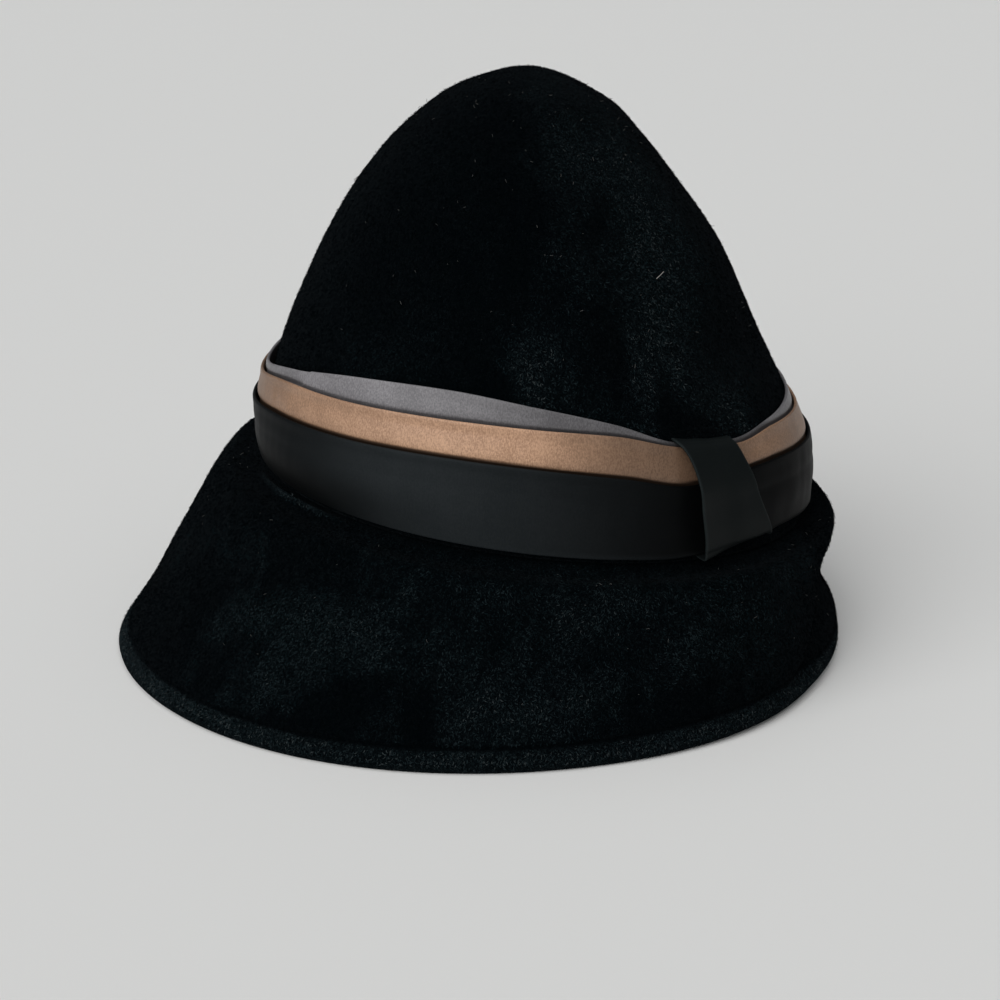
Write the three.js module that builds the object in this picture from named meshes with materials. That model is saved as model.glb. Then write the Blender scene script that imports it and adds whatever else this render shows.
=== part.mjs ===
// Cloche hat of velour felt with a trim of three folded satin bands, in millimetres, +Z up.
// Its front faces -Y, the wearer's left faces +X, and its rim rests on z = 0.
// A turn is a place round the hat in degrees: 0 the front, 90 the wearer's left, 180 the back.
import * as THREE from 'three';

// The felt: the rim's outline, the head line where the crown meets the brim, and the walls
const RIM_LENGTH = 279;
const RIM_WIDTH = 236;
const HEAD_LENGTH = 203;
const HEAD_WIDTH = 171;
const HEAD_BACK = 22;
const HEAD_HEIGHT = 63.5;
const HEAD_TILT = 6;
const CROWN_HEIGHT = 148.5;
const CROWN_WALL = 2.4;
const BRIM_WALL = 2.4;
const COLLAR_HEIGHT = 9;

// The hem: felt turned up inside the rim and stitched, with a groove outside along the stitches
const HEM_WIDTH = 8.5;
const HEM_WALL = 4;
const HEM_GROOVE = 0.6;
const HEM_GROOVE_WIDTH = 2.4;
const RIM_EASE = 1;
const RIM_LIFT = 1.5;

// The satin: how far the black band reaches up from the head line, how much shows of the two
// beneath it, how far each runs on below the next one's top, and the walls
const BLACK_HEIGHT = 32;
const TAN_REVEAL = 12.5;
const GREY_REVEAL = 8;
const TAN_TUCK = 9;
const GREY_TUCK = 8;
const BLACK_WALL = 1.2;
const TAN_WALL = 1.1;
const GREY_WALL = 1.1;
const BAND_FOOT = 1.7;
const BAND_SLACK = 2.4;

// The keeper: a loop of satin over the bands, wider at its foot, with one edge that stands proud
const KEEPER_TOP_ANGLE = 125.5;
const KEEPER_FOOT_ANGLE = 131;
const KEEPER_TOP_WIDTH = 24;
const KEEPER_FOOT_WIDTH = 30;
const KEEPER_WALL = 1.3;
const KEEPER_STAND = 3.5;
const KEEPER_SLACK = 0.6;

// The keeper's proud edge: how far across it lies flat again, how much of its stand is left at its
// top, and how far down it has all of it
const KEEPER_PROUD_SHARE = 0.6;
const KEEPER_TOP_STAND_SHARE = 0.4;
const KEEPER_STAND_DOWN_SHARE = 0.25;

// The gap between pieces that touch
const CLEARANCE = 0.3;

// The crown's profile from foot to tip, as shares of its height and of the head line's sizes.
// A shift moves a section toward the back, as a share of the head line's half length.
const CROWN_PROFILE = [
  { rise: 0.00, length: 1.000, width: 1.000, shift: 0.000 },
  { rise: 0.14, length: 0.985, width: 0.985, shift: -0.012 },
  { rise: 0.30, length: 0.913, width: 0.933, shift: -0.054 },
  { rise: 0.46, length: 0.802, width: 0.847, shift: -0.089 },
  { rise: 0.62, length: 0.682, width: 0.742, shift: -0.113 },
  { rise: 0.76, length: 0.536, width: 0.597, shift: -0.142 },
  { rise: 0.87, length: 0.391, width: 0.438, shift: -0.153 },
  { rise: 0.95, length: 0.241, width: 0.270, shift: -0.156 },
  { rise: 1.00, length: 0.000, width: 0.000, shift: -0.167 },
];

// Soft dents in the crown: where, how far they reach round and up, and how deep, the reach and the
// place up as shares of the crown's height and the depth as a share of the head line's width.
const CROWN_DENTS = [
  { turn: 122, rise: 0.66, round: 34, tall: 0.36, deep: 0.022 },
  { turn: 62, rise: 0.52, round: 40, tall: 0.30, deep: 0.012 },
  { turn: 250, rise: 0.60, round: 44, tall: 0.34, deep: 0.018 },
];

// The brim's section round the hat: how far it stands out from a straight run between the rim and
// the head line, at three heights, as shares of the head line's height. A reach widens the rim's
// oval, as a share of the rim's width.
const BRIM_SECTIONS = [
  { turn: 0, waist: 0.03, swell: 0.10, shoulder: 0.14, reach: 0.000 },
  { turn: 30, waist: 0.01, swell: 0.05, shoulder: 0.10, reach: -0.003 },
  { turn: 65, waist: -0.01, swell: 0.02, shoulder: 0.06, reach: 0.000 },
  { turn: 105, waist: -0.01, swell: 0.02, shoulder: 0.06, reach: 0.000 },
  { turn: 135, waist: 0.005, swell: 0.065, shoulder: 0.11, reach: 0.009 },
  { turn: 155, waist: 0.04, swell: 0.06, shoulder: 0.11, reach: 0.000 },
  { turn: 180, waist: 0.02, swell: -0.02, shoulder: 0.17, reach: 0.000 },
  { turn: 215, waist: -0.02, swell: 0.05, shoulder: 0.21, reach: 0.000 },
  { turn: 260, waist: -0.01, swell: 0.02, shoulder: 0.08, reach: 0.000 },
  { turn: 325, waist: 0.02, swell: 0.10, shoulder: 0.24, reach: 0.003 },
];
const WAIST_SHARE = 0.25;
const SWELL_SHARE = 0.55;
const SHOULDER_SHARE = 0.86;

// The rim lifts a little off the surface at the back left.
const RIM_LIFT_ANGLE = 150;
const RIM_LIFT_SPAN_ANGLE = 45;

// The bands' top edges round the hat, as shares of the black band's height and of what shows of
// the tan and the grey one. A foot lifts the black band's lower edge by a share of its height, and
// slack is a share of how far the bands stand away from the crown in front.
const BAND_TOPS = [
  { turn: 0, black: 0.71, tan: 0.80, grey: 0.38, foot: 0.00, slack: 1.0 },
  { turn: 28, black: 0.83, tan: 0.95, grey: 0.55, foot: 0.00, slack: 0.4 },
  { turn: 48, black: 0.90, tan: 0.95, grey: 0.98, foot: 0.00, slack: 0.0 },
  { turn: 72, black: 0.98, tan: 0.95, grey: 1.08, foot: 0.00, slack: 0.0 },
  { turn: 90, black: 0.99, tan: 0.98, grey: 0.80, foot: 0.00, slack: 0.0 },
  { turn: 106, black: 0.95, tan: 1.04, grey: 0.40, foot: 0.00, slack: 0.0 },
  { turn: 118, black: 0.87, tan: 0.98, grey: 0.12, foot: 0.00, slack: 0.0 },
  { turn: 135, black: 0.97, tan: 0.64, grey: 0.15, foot: 0.07, slack: 0.0 },
  { turn: 148, black: 1.00, tan: 0.76, grey: 0.30, foot: 0.14, slack: 0.0 },
  { turn: 180, black: 0.94, tan: 0.80, grey: 1.00, foot: 0.04, slack: 0.0 },
  { turn: 230, black: 0.99, tan: 0.95, grey: 1.00, foot: 0.00, slack: 0.0 },
  { turn: 305, black: 0.90, tan: 0.95, grey: 0.80, foot: 0.00, slack: 0.2 },
];

// Steps of the meshes
const COLUMNS = 72;
const CROWN_RINGS = 13;
const CROWN_INNER_RINGS = 9;
const KEEPER_COLUMNS = 8;

// Places of the brim's rings above its hem, outside and inside, as shares of the way up
const BRIM_RINGS_OUTSIDE = [0.26, 0.38, 0.50, 0.62, 0.73, 0.82, 0.89, 0.95];
const BRIM_RINGS_INSIDE = [0.93, 0.84, 0.72, 0.54, 0.36];

const SMALL = 1e-3;
const DEGREE = Math.PI / 180;
const HEAD_LINE_TURN = -HEAD_TILT * DEGREE;
const TURNS = Array.from({ length: COLUMNS }, (_, column) => (360 * column) / COLUMNS);
const UP = new THREE.Vector3(0, 0, 1);

// Number at x on a smooth curve through rows sorted by key; x stays within the rows.
function smooth(rows, key, x, column) {
  const above = rows.findIndex((row) => row[key] > x);
  const i = above === -1 ? rows.length - 2 : Math.max(above - 1, 0);
  const slope = (j) => {
    const before = rows[Math.max(j - 1, 0)];
    const after = rows[Math.min(j + 1, rows.length - 1)];
    return (after[column] - before[column]) / (after[key] - before[key]);
  };
  const span = rows[i + 1][key] - rows[i][key];
  const f = (x - rows[i][key]) / span;
  const blend = 3 * f ** 2 - 2 * f ** 3;
  return rows[i][column] * (1 - blend) + rows[i + 1][column] * blend
    + slope(i) * span * f * (1 - f) ** 2 - slope(i + 1) * span * f ** 2 * (1 - f);
}

// Number at a turn on a smooth curve through a table that goes all round the hat.
function around(rows, turn, column) {
  const shifted = (by) => rows.map((row) => ({ ...row, turn: row.turn + by }));
  const place = ((turn % 360) + 360) % 360;
  return smooth([shifted(-360).at(-2), shifted(-360).at(-1), ...rows, ...shifted(360).slice(0, 2)],
    'turn', place, column);
}

// A soft hump: 1 at its middle and 0 from its edge on.
function hump(distance, reach) {
  return Math.abs(distance) < reach ? Math.cos((Math.PI * distance) / reach / 2) ** 2 : 0;
}

// Shortest way between two turns, in degrees.
function turnBetween(a, b) {
  return ((((a - b) % 360) + 540) % 360) - 180;
}

// Level direction out of an ellipse of a length and a width, at a turn.
function outOf(length, width, turn) {
  const t = turn * DEGREE;
  return new THREE.Vector3(Math.sin(t) / width, -Math.cos(t) / length, 0).normalize();
}

// The profile with a row mirrored beyond the tip, so that the curve through the rows rounds the tip off.
const CROWN_ROWS = [...CROWN_PROFILE, {
  ...CROWN_PROFILE.at(-2),
  length: -CROWN_PROFILE.at(-2).length,
  width: -CROWN_PROFILE.at(-2).width,
}].map((row, step) => ({ ...row, step }));
const TIP = CROWN_PROFILE.length - 1;

// Point on the crown's outer skin, from the head line's centre: step is a place up the profile.
function crownSkin(step, turn) {
  const place = Math.min(step, 2 * TIP - step);
  const side = step > TIP ? -1 : 1;
  const [rise, length, width, shift] = ['rise', 'length', 'width', 'shift']
    .map((column) => smooth(CROWN_ROWS, 'step', Math.max(place, 0), column));
  const dent = CROWN_DENTS.reduce((sum, row) => sum + row.deep * HEAD_WIDTH
    * hump(turnBetween(turn, row.turn), row.round) * hump(rise - row.rise, row.tall), 0);
  const t = turn * DEGREE;
  return new THREE.Vector3(
    (side * width * HEAD_WIDTH * Math.sin(t)) / 2,
    ((shift - side * length * Math.cos(t)) * HEAD_LENGTH) / 2,
    rise * CROWN_HEIGHT,
  ).addScaledVector(outOf(HEAD_LENGTH, HEAD_WIDTH, turn), -dent);
}

// Place up the profile of a height above the head line.
function stepAt(height) {
  let low = 0;
  let high = TIP;
  while (high - low > SMALL) {
    const middle = (low + high) / 2;
    if (smooth(CROWN_ROWS, 'step', middle, 'rise') * CROWN_HEIGHT < height) low = middle;
    else high = middle;
  }
  return low;
}

// Point at a height above the head line, standing off the crown's skin; straight down below it.
function headPoint(height, turn, standOff) {
  return crownSkin(stepAt(height), turn)
    .setZ(height)
    .addScaledVector(outOf(HEAD_LENGTH, HEAD_WIDTH, turn), standOff);
}

// A point of the head line's own frame, in the hat's frame.
function inHat(point) {
  return point.applyAxisAngle(new THREE.Vector3(1, 0, 0), HEAD_LINE_TURN)
    .add(new THREE.Vector3(0, HEAD_BACK, HEAD_HEIGHT));
}

// Unit normal of a skin that runs up and round.
function outward(skin, step, turn) {
  const rise = skin(step + SMALL, turn).sub(skin(step - SMALL, turn));
  const round = skin(step, turn + 1).sub(skin(step, turn - 1));
  return round.cross(rise).normalize();
}

// Point at a depth below a skin.
function below(skin, step, turn, depth) {
  return skin(step, turn).addScaledVector(outward(skin, step, turn), -depth);
}

// The rim's outermost line, just above its eased lower corner.
function rimPoint(turn) {
  const t = turn * DEGREE;
  const lift = RIM_LIFT * hump(turnBetween(turn, RIM_LIFT_ANGLE), RIM_LIFT_SPAN_ANGLE);
  return new THREE.Vector3((RIM_WIDTH * Math.sin(t)) / 2, (-RIM_LENGTH * Math.cos(t)) / 2, RIM_EASE + lift)
    .addScaledVector(outOf(RIM_LENGTH, RIM_WIDTH, turn), RIM_WIDTH * around(BRIM_SECTIONS, turn, 'reach'));
}

// Point on the brim's outer skin: up is 0 at the rim and 1 at the crown's foot.
function brimSkin(up, turn) {
  const rim = rimPoint(turn);
  const run = inHat(headPoint(-CLEARANCE, turn, 0)).sub(rim);
  const slant = run.length();
  const level = Math.hypot(run.x, run.y);
  const out = new THREE.Vector3(-run.x / level, -run.y / level, 0);
  const away = out.multiplyScalar(run.z / slant).addScaledVector(UP, level / slant);
  const stations = [
    { up: 0, push: 0 },
    { up: WAIST_SHARE, push: around(BRIM_SECTIONS, turn, 'waist') },
    { up: SWELL_SHARE, push: around(BRIM_SECTIONS, turn, 'swell') },
    { up: SHOULDER_SHARE, push: around(BRIM_SECTIONS, turn, 'shoulder') },
    { up: 1, push: 0 },
  ];
  const push = HEAD_HEIGHT * smooth(stations, 'up', up, 'push');
  return rim.addScaledVector(run, up).addScaledVector(away, push);
}

// Geometry of points and the faces between them.
function geometryOf(points, faces) {
  const geometry = new THREE.BufferGeometry().setFromPoints(points);
  geometry.setIndex(faces);
  geometry.computeVertexNormals();
  return geometry;
}

// Closed body through rings of points, each ring joined to the next and the last to the first.
// Rings go up the outside and down the inside; a ring of one point is a tip.
function bodyOf(rings) {
  const starts = [];
  rings.reduce((sum, ring) => {
    starts.push(sum);
    return sum + ring.length;
  }, 0);
  const corner = (r, c) => starts[r] + (rings[r].length === 1 ? 0 : c % rings[r].length);
  const faces = [];
  rings.forEach((ring, r) => {
    const next = (r + 1) % rings.length;
    const count = Math.max(ring.length, rings[next].length);
    for (let c = 0; c < count; c += 1) {
      const [a, b, d, e] = [corner(r, c), corner(r, c + 1), corner(next, c + 1), corner(next, c)];
      if (a !== b) faces.push(a, b, d);
      if (d !== e) faces.push(a, d, e);
    }
  });
  return geometryOf(rings.flat(), faces);
}

// One ring of points from a function of the turn.
function ring(place) {
  return TURNS.map(place);
}

// The crown: one felt cone, hollow, open at the head line.
function crown() {
  const rings = [];
  for (let i = 0; i < CROWN_RINGS; i += 1) {
    rings.push(ring((turn) => crownSkin((TIP * i) / CROWN_RINGS, turn)));
  }
  rings.push([crownSkin(TIP, 0)]);
  rings.push([crownSkin(TIP, 0).addScaledVector(UP, -CROWN_WALL)]);
  for (let i = CROWN_INNER_RINGS - 1; i > 0; i -= 1) {
    rings.push(ring((turn) => below(crownSkin, (TIP * i) / CROWN_INNER_RINGS, turn, CROWN_WALL)));
  }
  rings.push(ring((turn) => headPoint(0, turn, -CROWN_WALL)));
  return bodyOf(rings);
}

// The brim: rim, hem, outer skin, the ledge under the crown's foot, the collar, and the inside.
function brim() {
  const slant = (turn) => brimSkin(1, turn).distanceTo(brimSkin(0, turn));
  const skin = (up, depth) => ring((turn) => below(brimSkin, up, turn, depth));
  const hem = (width, depth) => ring((turn) => below(brimSkin, width / slant(turn), turn, depth));
  const collar = (height, depth) => ring((turn) => inHat(headPoint(height, turn, -depth)));
  const sole = (depth) => ring((turn) => {
    const rim = rimPoint(turn);
    return rim.addScaledVector(outOf(RIM_LENGTH, RIM_WIDTH, turn), -depth).setZ(rim.z - RIM_EASE);
  });
  const collarOuter = CROWN_WALL + CLEARANCE;
  const collarInner = collarOuter + BRIM_WALL;
  return bodyOf([
    sole(RIM_EASE),
    skin(0, 0),
    hem(HEM_WIDTH / 2, 0),
    hem(HEM_WIDTH - HEM_GROOVE_WIDTH / 2, 0),
    hem(HEM_WIDTH, HEM_GROOVE),
    hem(HEM_WIDTH + HEM_GROOVE_WIDTH / 2, 0),
    ...BRIM_RINGS_OUTSIDE.map((up) => skin(up, 0)),
    collar(-CLEARANCE, 0),
    collar(-CLEARANCE, collarOuter),
    collar(COLLAR_HEIGHT, collarOuter),
    collar(COLLAR_HEIGHT, collarInner),
    collar(-CLEARANCE - BRIM_WALL, collarInner),
    ...BRIM_RINGS_INSIDE.map((up) => skin(up, BRIM_WALL)),
    hem(HEM_WIDTH + HEM_GROOVE_WIDTH / 2, BRIM_WALL),
    hem(HEM_WIDTH - HEM_GROOVE_WIDTH / 2, HEM_WALL),
    sole(HEM_WALL),
  ]);
}

// The bands from the outermost in, each with its wall and its lower and upper edge at a turn.
const blackTop = (turn) => BLACK_HEIGHT * around(BAND_TOPS, turn, 'black');
const tanTop = (turn) => blackTop(turn) + TAN_REVEAL * around(BAND_TOPS, turn, 'tan');
const greyTop = (turn) => tanTop(turn) + GREY_REVEAL * around(BAND_TOPS, turn, 'grey');
const blackFoot = (turn) => BAND_FOOT + BLACK_HEIGHT * around(BAND_TOPS, turn, 'foot');
const BANDS = [
  { wall: BLACK_WALL, foot: blackFoot, top: blackTop },
  { wall: TAN_WALL, foot: (turn) => blackTop(turn) - TAN_TUCK, top: tanTop },
  { wall: GREY_WALL, foot: (turn) => tanTop(turn) - GREY_TUCK, top: greyTop },
];

// How far the inside of a band stands off the crown: it climbs over the foot of each one beneath.
function standOff(layer, height, turn) {
  return BANDS.slice(layer + 1).reduce((sum, beneath, i) => {
    const start = BANDS[layer + i].foot(turn);
    const full = beneath.foot(turn) - CLEARANCE;
    const climb = Math.min(Math.max((height - start) / (full - start), 0), 1);
    return sum + climb * (beneath.wall + CLEARANCE);
  }, CLEARANCE + BAND_SLACK * around(BAND_TOPS, turn, 'slack'));
}

// A folded band, thin and closed, with a fold along its top edge.
function band(layer) {
  const { wall, foot, top } = BANDS[layer];
  const beneath = BANDS[layer + 1];
  const knee = (turn) => (beneath ? beneath.foot(turn) - CLEARANCE : (foot(turn) + top(turn)) / 2);
  const middle = (turn) => (knee(turn) + top(turn)) / 2;
  const shoulder = (turn) => top(turn) - wall / 2;
  const at = (place, off) => ring((turn) => {
    const height = place(turn);
    return headPoint(height, turn, standOff(layer, height, turn) + off);
  });
  return bodyOf([
    at(foot, wall), at(knee, wall), at(middle, wall), at(shoulder, wall),
    at(top, wall / 2),
    at(shoulder, 0), at(middle, 0), at(knee, 0), at(foot, 0),
  ]);
}

// Turn of a place on the keeper: across runs from its proud edge on, down from its top to its foot.
function keeperTurn(across, down) {
  const middle = THREE.MathUtils.lerp(KEEPER_TOP_ANGLE, KEEPER_FOOT_ANGLE, down);
  const width = THREE.MathUtils.lerp(KEEPER_TOP_WIDTH, KEEPER_FOOT_WIDTH, down);
  const degreeLength = headPoint(0, middle + 1, 0).distanceTo(headPoint(0, middle, 0));
  return middle + ((across - 0.5) * width) / degreeLength;
}

// How far down the keeper a height lies: 0 at the grey band's top and 1 at the black one's foot.
function keeperDown(height) {
  const high = greyTop(KEEPER_TOP_ANGLE);
  const low = blackFoot(KEEPER_FOOT_ANGLE);
  return THREE.MathUtils.clamp((high - height) / (high - low), 0, 1);
}

// Height of a band's edge under the keeper at one column, found by closing in on its turn.
function edgeUnder(across, edge) {
  let height = edge(keeperTurn(across, 0.5));
  for (let i = 0; i < 3; i += 1) height = edge(keeperTurn(across, keeperDown(height)));
  return height;
}

// The keeper's inner face at one column, from the crown over the bands and in again below them:
// heights, and distances off the crown.
function keeperPath(across) {
  const [black, tan, grey] = BANDS;
  const proud = KEEPER_STAND * Math.max(1 - across / KEEPER_PROUD_SHARE, 0) ** 2;
  const over = (layer, height) => {
    const down = keeperDown(height);
    const risen = Math.min(down / KEEPER_STAND_DOWN_SHARE, 1);
    const stand = THREE.MathUtils.lerp(KEEPER_TOP_STAND_SHARE, 1, risen);
    const bands = standOff(layer, height, keeperTurn(across, down)) + BANDS[layer].wall;
    return { height, off: bands + KEEPER_SLACK + proud * stand };
  };
  const [blackEdge, tanEdge, greyEdge] = [black, tan, grey].map(({ top }) => edgeUnder(across, top));
  const [blackLow, tanLow] = [black, tan].map(({ foot }) => edgeUnder(across, foot));
  const top = over(2, greyEdge);
  const foot = over(0, blackLow);
  return [
    { height: greyEdge + KEEPER_SLACK, off: CLEARANCE },
    { height: greyEdge + KEEPER_SLACK, off: top.off - KEEPER_SLACK },
    { height: greyEdge - KEEPER_SLACK, off: top.off },
    over(1, tanEdge),
    over(0, blackEdge),
    over(0, (blackEdge + tanLow) / 2),
    over(0, tanLow),
    over(0, (blackLow + tanLow) / 2),
    { height: blackLow + KEEPER_SLACK, off: foot.off },
    { height: blackLow - CLEARANCE, off: foot.off - KEEPER_SLACK },
    { height: blackLow - CLEARANCE, off: CLEARANCE },
  ];
}

// Closed sheet between an outer and an inner grid of points, by column and row.
function slabOf(outer, inner) {
  const rows = outer[0].length;
  const last = { column: outer.length - 1, row: rows - 1 };
  const at = (side, column, row) => (side * outer.length + column) * rows + row;
  const faces = [];
  const quad = (a, b, c, d) => faces.push(a, b, c, a, c, d);
  for (let c = 0; c < last.column; c += 1) {
    for (let r = 0; r < last.row; r += 1) {
      quad(at(0, c, r), at(0, c, r + 1), at(0, c + 1, r + 1), at(0, c + 1, r));
      quad(at(1, c, r), at(1, c + 1, r), at(1, c + 1, r + 1), at(1, c, r + 1));
    }
    quad(at(0, c, 0), at(0, c + 1, 0), at(1, c + 1, 0), at(1, c, 0));
    quad(at(0, c, last.row), at(1, c, last.row), at(1, c + 1, last.row), at(0, c + 1, last.row));
  }
  for (let r = 0; r < last.row; r += 1) {
    quad(at(0, 0, r), at(1, 0, r), at(1, 0, r + 1), at(0, 0, r + 1));
    quad(at(0, last.column, r), at(0, last.column, r + 1), at(1, last.column, r + 1), at(1, last.column, r));
  }
  return geometryOf([...outer.flat(), ...inner.flat()], faces);
}

// The keeper: a sheet of satin that stands off the bands by its slack.
function keeper() {
  const outer = [];
  const inner = [];
  for (let column = 0; column <= KEEPER_COLUMNS; column += 1) {
    const across = column / KEEPER_COLUMNS;
    const path = keeperPath(across);
    const onHat = ({ height, off }) => headPoint(height, keeperTurn(across, keeperDown(height)), off);
    inner.push(path.map(onHat));
    outer.push(path.map((place, i) => {
      const before = path[Math.max(i - 1, 0)];
      const after = path[Math.min(i + 1, path.length - 1)];
      const run = new THREE.Vector2(after.height - before.height, after.off - before.off).normalize();
      return onHat({
        height: place.height + run.y * KEEPER_WALL,
        off: place.off - run.x * KEEPER_WALL,
      });
    }));
  }
  return slabOf(outer, inner);
}

// A named piece in its material.
function piece(name, geometry, color, roughness) {
  const mesh = new THREE.Mesh(geometry, new THREE.MeshStandardMaterial({ color, roughness, metalness: 0 }));
  mesh.name = name;
  return mesh;
}

const FELT_BLACK = 0x141617;
const SATIN_BLACK = 0x26282a;
const SATIN_TAN = 0xb0805f;
const SATIN_GREY = 0x6f6a73;
const FELT_ROUGH = 0.95;
const SATIN_ROUGH = 0.45;

const onHead = new THREE.Group();
onHead.position.set(0, HEAD_BACK, HEAD_HEIGHT);
onHead.rotation.x = HEAD_LINE_TURN;
onHead.add(
  piece('crown', crown(), FELT_BLACK, FELT_ROUGH),
  piece('band_black', band(0), SATIN_BLACK, SATIN_ROUGH),
  piece('band_tan', band(1), SATIN_TAN, SATIN_ROUGH),
  piece('band_grey', band(2), SATIN_GREY, SATIN_ROUGH),
  piece('keeper', keeper(), SATIN_BLACK, SATIN_ROUGH),
);

const hat = new THREE.Group();
hat.add(piece('brim', brim(), FELT_BLACK, FELT_ROUGH), onHead);

export default hat;
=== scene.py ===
"""Cloche hat of velour felt, with a trim of three folded satin bands and a satin keeper.

The frame is the part's own: metres, +Z up, the hat's front toward -Y, the wearer's left toward +X,
and the rim on z = 0. A turn is a place round the hat in degrees: 0 the front, 90 the wearer's left,
180 the back. Heights on the crown and the bands are measured up from the tilted head line.
"""
import logging
import math
from dataclasses import dataclass, field
from enum import Enum
from typing import Any, Callable, Sequence, Union

import bpy
import numpy as np
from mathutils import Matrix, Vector


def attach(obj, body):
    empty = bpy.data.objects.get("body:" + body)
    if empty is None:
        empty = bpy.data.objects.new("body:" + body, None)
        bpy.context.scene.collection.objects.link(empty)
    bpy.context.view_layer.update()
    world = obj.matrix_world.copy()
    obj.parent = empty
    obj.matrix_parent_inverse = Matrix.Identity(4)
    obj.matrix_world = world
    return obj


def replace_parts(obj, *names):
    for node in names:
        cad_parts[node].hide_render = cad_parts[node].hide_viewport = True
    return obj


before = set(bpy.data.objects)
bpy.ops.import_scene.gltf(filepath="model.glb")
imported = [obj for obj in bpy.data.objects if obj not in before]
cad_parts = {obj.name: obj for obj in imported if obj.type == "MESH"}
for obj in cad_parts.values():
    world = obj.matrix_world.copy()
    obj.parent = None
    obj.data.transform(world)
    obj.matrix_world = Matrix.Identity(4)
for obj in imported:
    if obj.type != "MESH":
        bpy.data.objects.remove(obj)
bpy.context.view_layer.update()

LOG = logging.getLogger("cloche")
MM = 0.001
Colour = tuple[float, float, float]
Array = np.ndarray


class CadNode(Enum):
    """The solids of the CAD part that dressed pieces stand for."""

    CROWN = "crown"
    BRIM = "brim"
    BLACK = "band_black"
    TAN = "band_tan"
    GREY = "band_grey"
    KEEPER = "keeper"


class Slot(Enum):
    """The record's material slots."""

    FELT = "felt_velour"
    BLACK = "satin_black"
    TAN = "satin_tan"
    GREY = "satin_grey"


# Numbers and shapes


def through(keys: Sequence[float], values: Array, x: Array) -> Array:
    """Read a smooth curve through rows of keys and values.

    Args:
        keys: the rows' keys, rising.
        values: one value a row, or one array of x's shape a row.
        x: the places to read at.

    Returns:
        The curve's values at x.
    """
    keys, values, x = np.asarray(keys, float), np.asarray(values, float), np.asarray(x, float)
    last = len(keys) - 1
    rows = np.arange(last + 1)
    before, after = np.maximum(rows - 1, 0), np.minimum(rows + 1, last)
    gaps = (keys[after] - keys[before]).reshape((-1,) + (1,) * (values.ndim - 1))
    slopes = (values[after] - values[before]) / gaps
    i = np.clip(np.searchsorted(keys, x, side="right") - 1, 0, last - 1)

    def pick(table: Array, row: Array) -> Array:
        """Take each place's own row of a table."""
        return table[row] if table.ndim == 1 else np.take_along_axis(table, row[None], 0)[0]

    span = keys[i + 1] - keys[i]
    f = (x - keys[i]) / span
    blend = 3 * f**2 - 2 * f**3
    bend = pick(slopes, i) * f * (1 - f) ** 2 - pick(slopes, i + 1) * f**2 * (1 - f)
    return pick(values, i) * (1 - blend) + pick(values, i + 1) * blend + bend * span


@dataclass(frozen=True)
class Table:
    """Rows of numbers under named columns, the first of which is the key."""

    columns: str
    rows: tuple[tuple[float, ...], ...]
    round_hat: bool = False

    def column(self, name: str) -> Array:
        """Give one column's numbers."""
        return np.array(self.rows)[:, self.columns.split().index(name)]

    def at(self, name: str, x: Array) -> Array:
        """Read a column as a smooth curve over the key.

        Args:
            name: the column.
            x: places along the key; turns in degrees where the table goes round the hat.

        Returns:
            The curve's values.
        """
        keys, values = self.column(self.columns.split()[0]), self.column(name)
        if not self.round_hat:
            return through(keys, values, x)
        keys = np.concatenate([keys[-2:] - 360, keys, keys[:2] + 360])
        values = np.concatenate([values[-2:], values, values[:2]])
        return through(keys, values, np.mod(x, 360))


def hump(distance: Array, reach: float) -> Array:
    """Give a soft hump, 1 at its middle and 0 from its edge on."""
    return np.where(np.abs(distance) < reach, np.cos(np.pi * distance / reach / 2) ** 2, 0)


def ease(x: Array, low: float, high: float) -> Array:
    """Rise smoothly from 0 at low to 1 at high."""
    f = np.clip((x - low) / (high - low), 0, 1)
    return f * f * (3 - 2 * f)


def turn_between(a: Array, b: float) -> Array:
    """Give the shortest way from b to a, in degrees."""
    return np.mod(a - b + 540, 360) - 180


def vector(x: Array, y: Array, z: Array) -> Array:
    """Stack coordinates into points."""
    return np.stack(np.broadcast_arrays(x, y, z), -1)


def unit(v: Array) -> Array:
    """Scale vectors to length 1."""
    return v / np.maximum(np.linalg.norm(v, axis=-1, keepdims=True), 1e-12)


def out_of(length: float, width: float, turn: Array) -> Array:
    """Give the level direction out of an ellipse at a turn."""
    t = np.radians(turn)
    return unit(vector(np.sin(t) / width, -np.cos(t) / length, 0 * t))


class Noise:
    """Smooth noise from about -1 to 1 that is the same in each run."""

    CELLS = 32

    def __init__(self, seed: int) -> None:
        """Fill the lattice from a seed."""
        self.lattice = np.random.default_rng(seed).uniform(-1, 1, (self.CELLS,) * 3)

    def __call__(self, points: Array, scale: Union[float, tuple[float, float, float]]) -> Array:
        """Read the noise at points.

        Args:
            points: places, any shape with 3 last.
            scale: cells a metre, one number or one for each axis.

        Returns:
            One value a point.
        """
        p = points * np.asarray(scale)
        cell = np.floor(p).astype(int)
        f = p - cell
        f = f * f * (3 - 2 * f)
        total = np.zeros(p.shape[:-1])
        for corner in np.ndindex(2, 2, 2):
            weight = np.prod(np.where(np.array(corner) == 1, f, 1 - f), axis=-1)
            x, y, z = np.moveaxis((cell + corner) % self.CELLS, -1, 0)
            total += self.lattice[x, y, z] * weight
        return total


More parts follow.
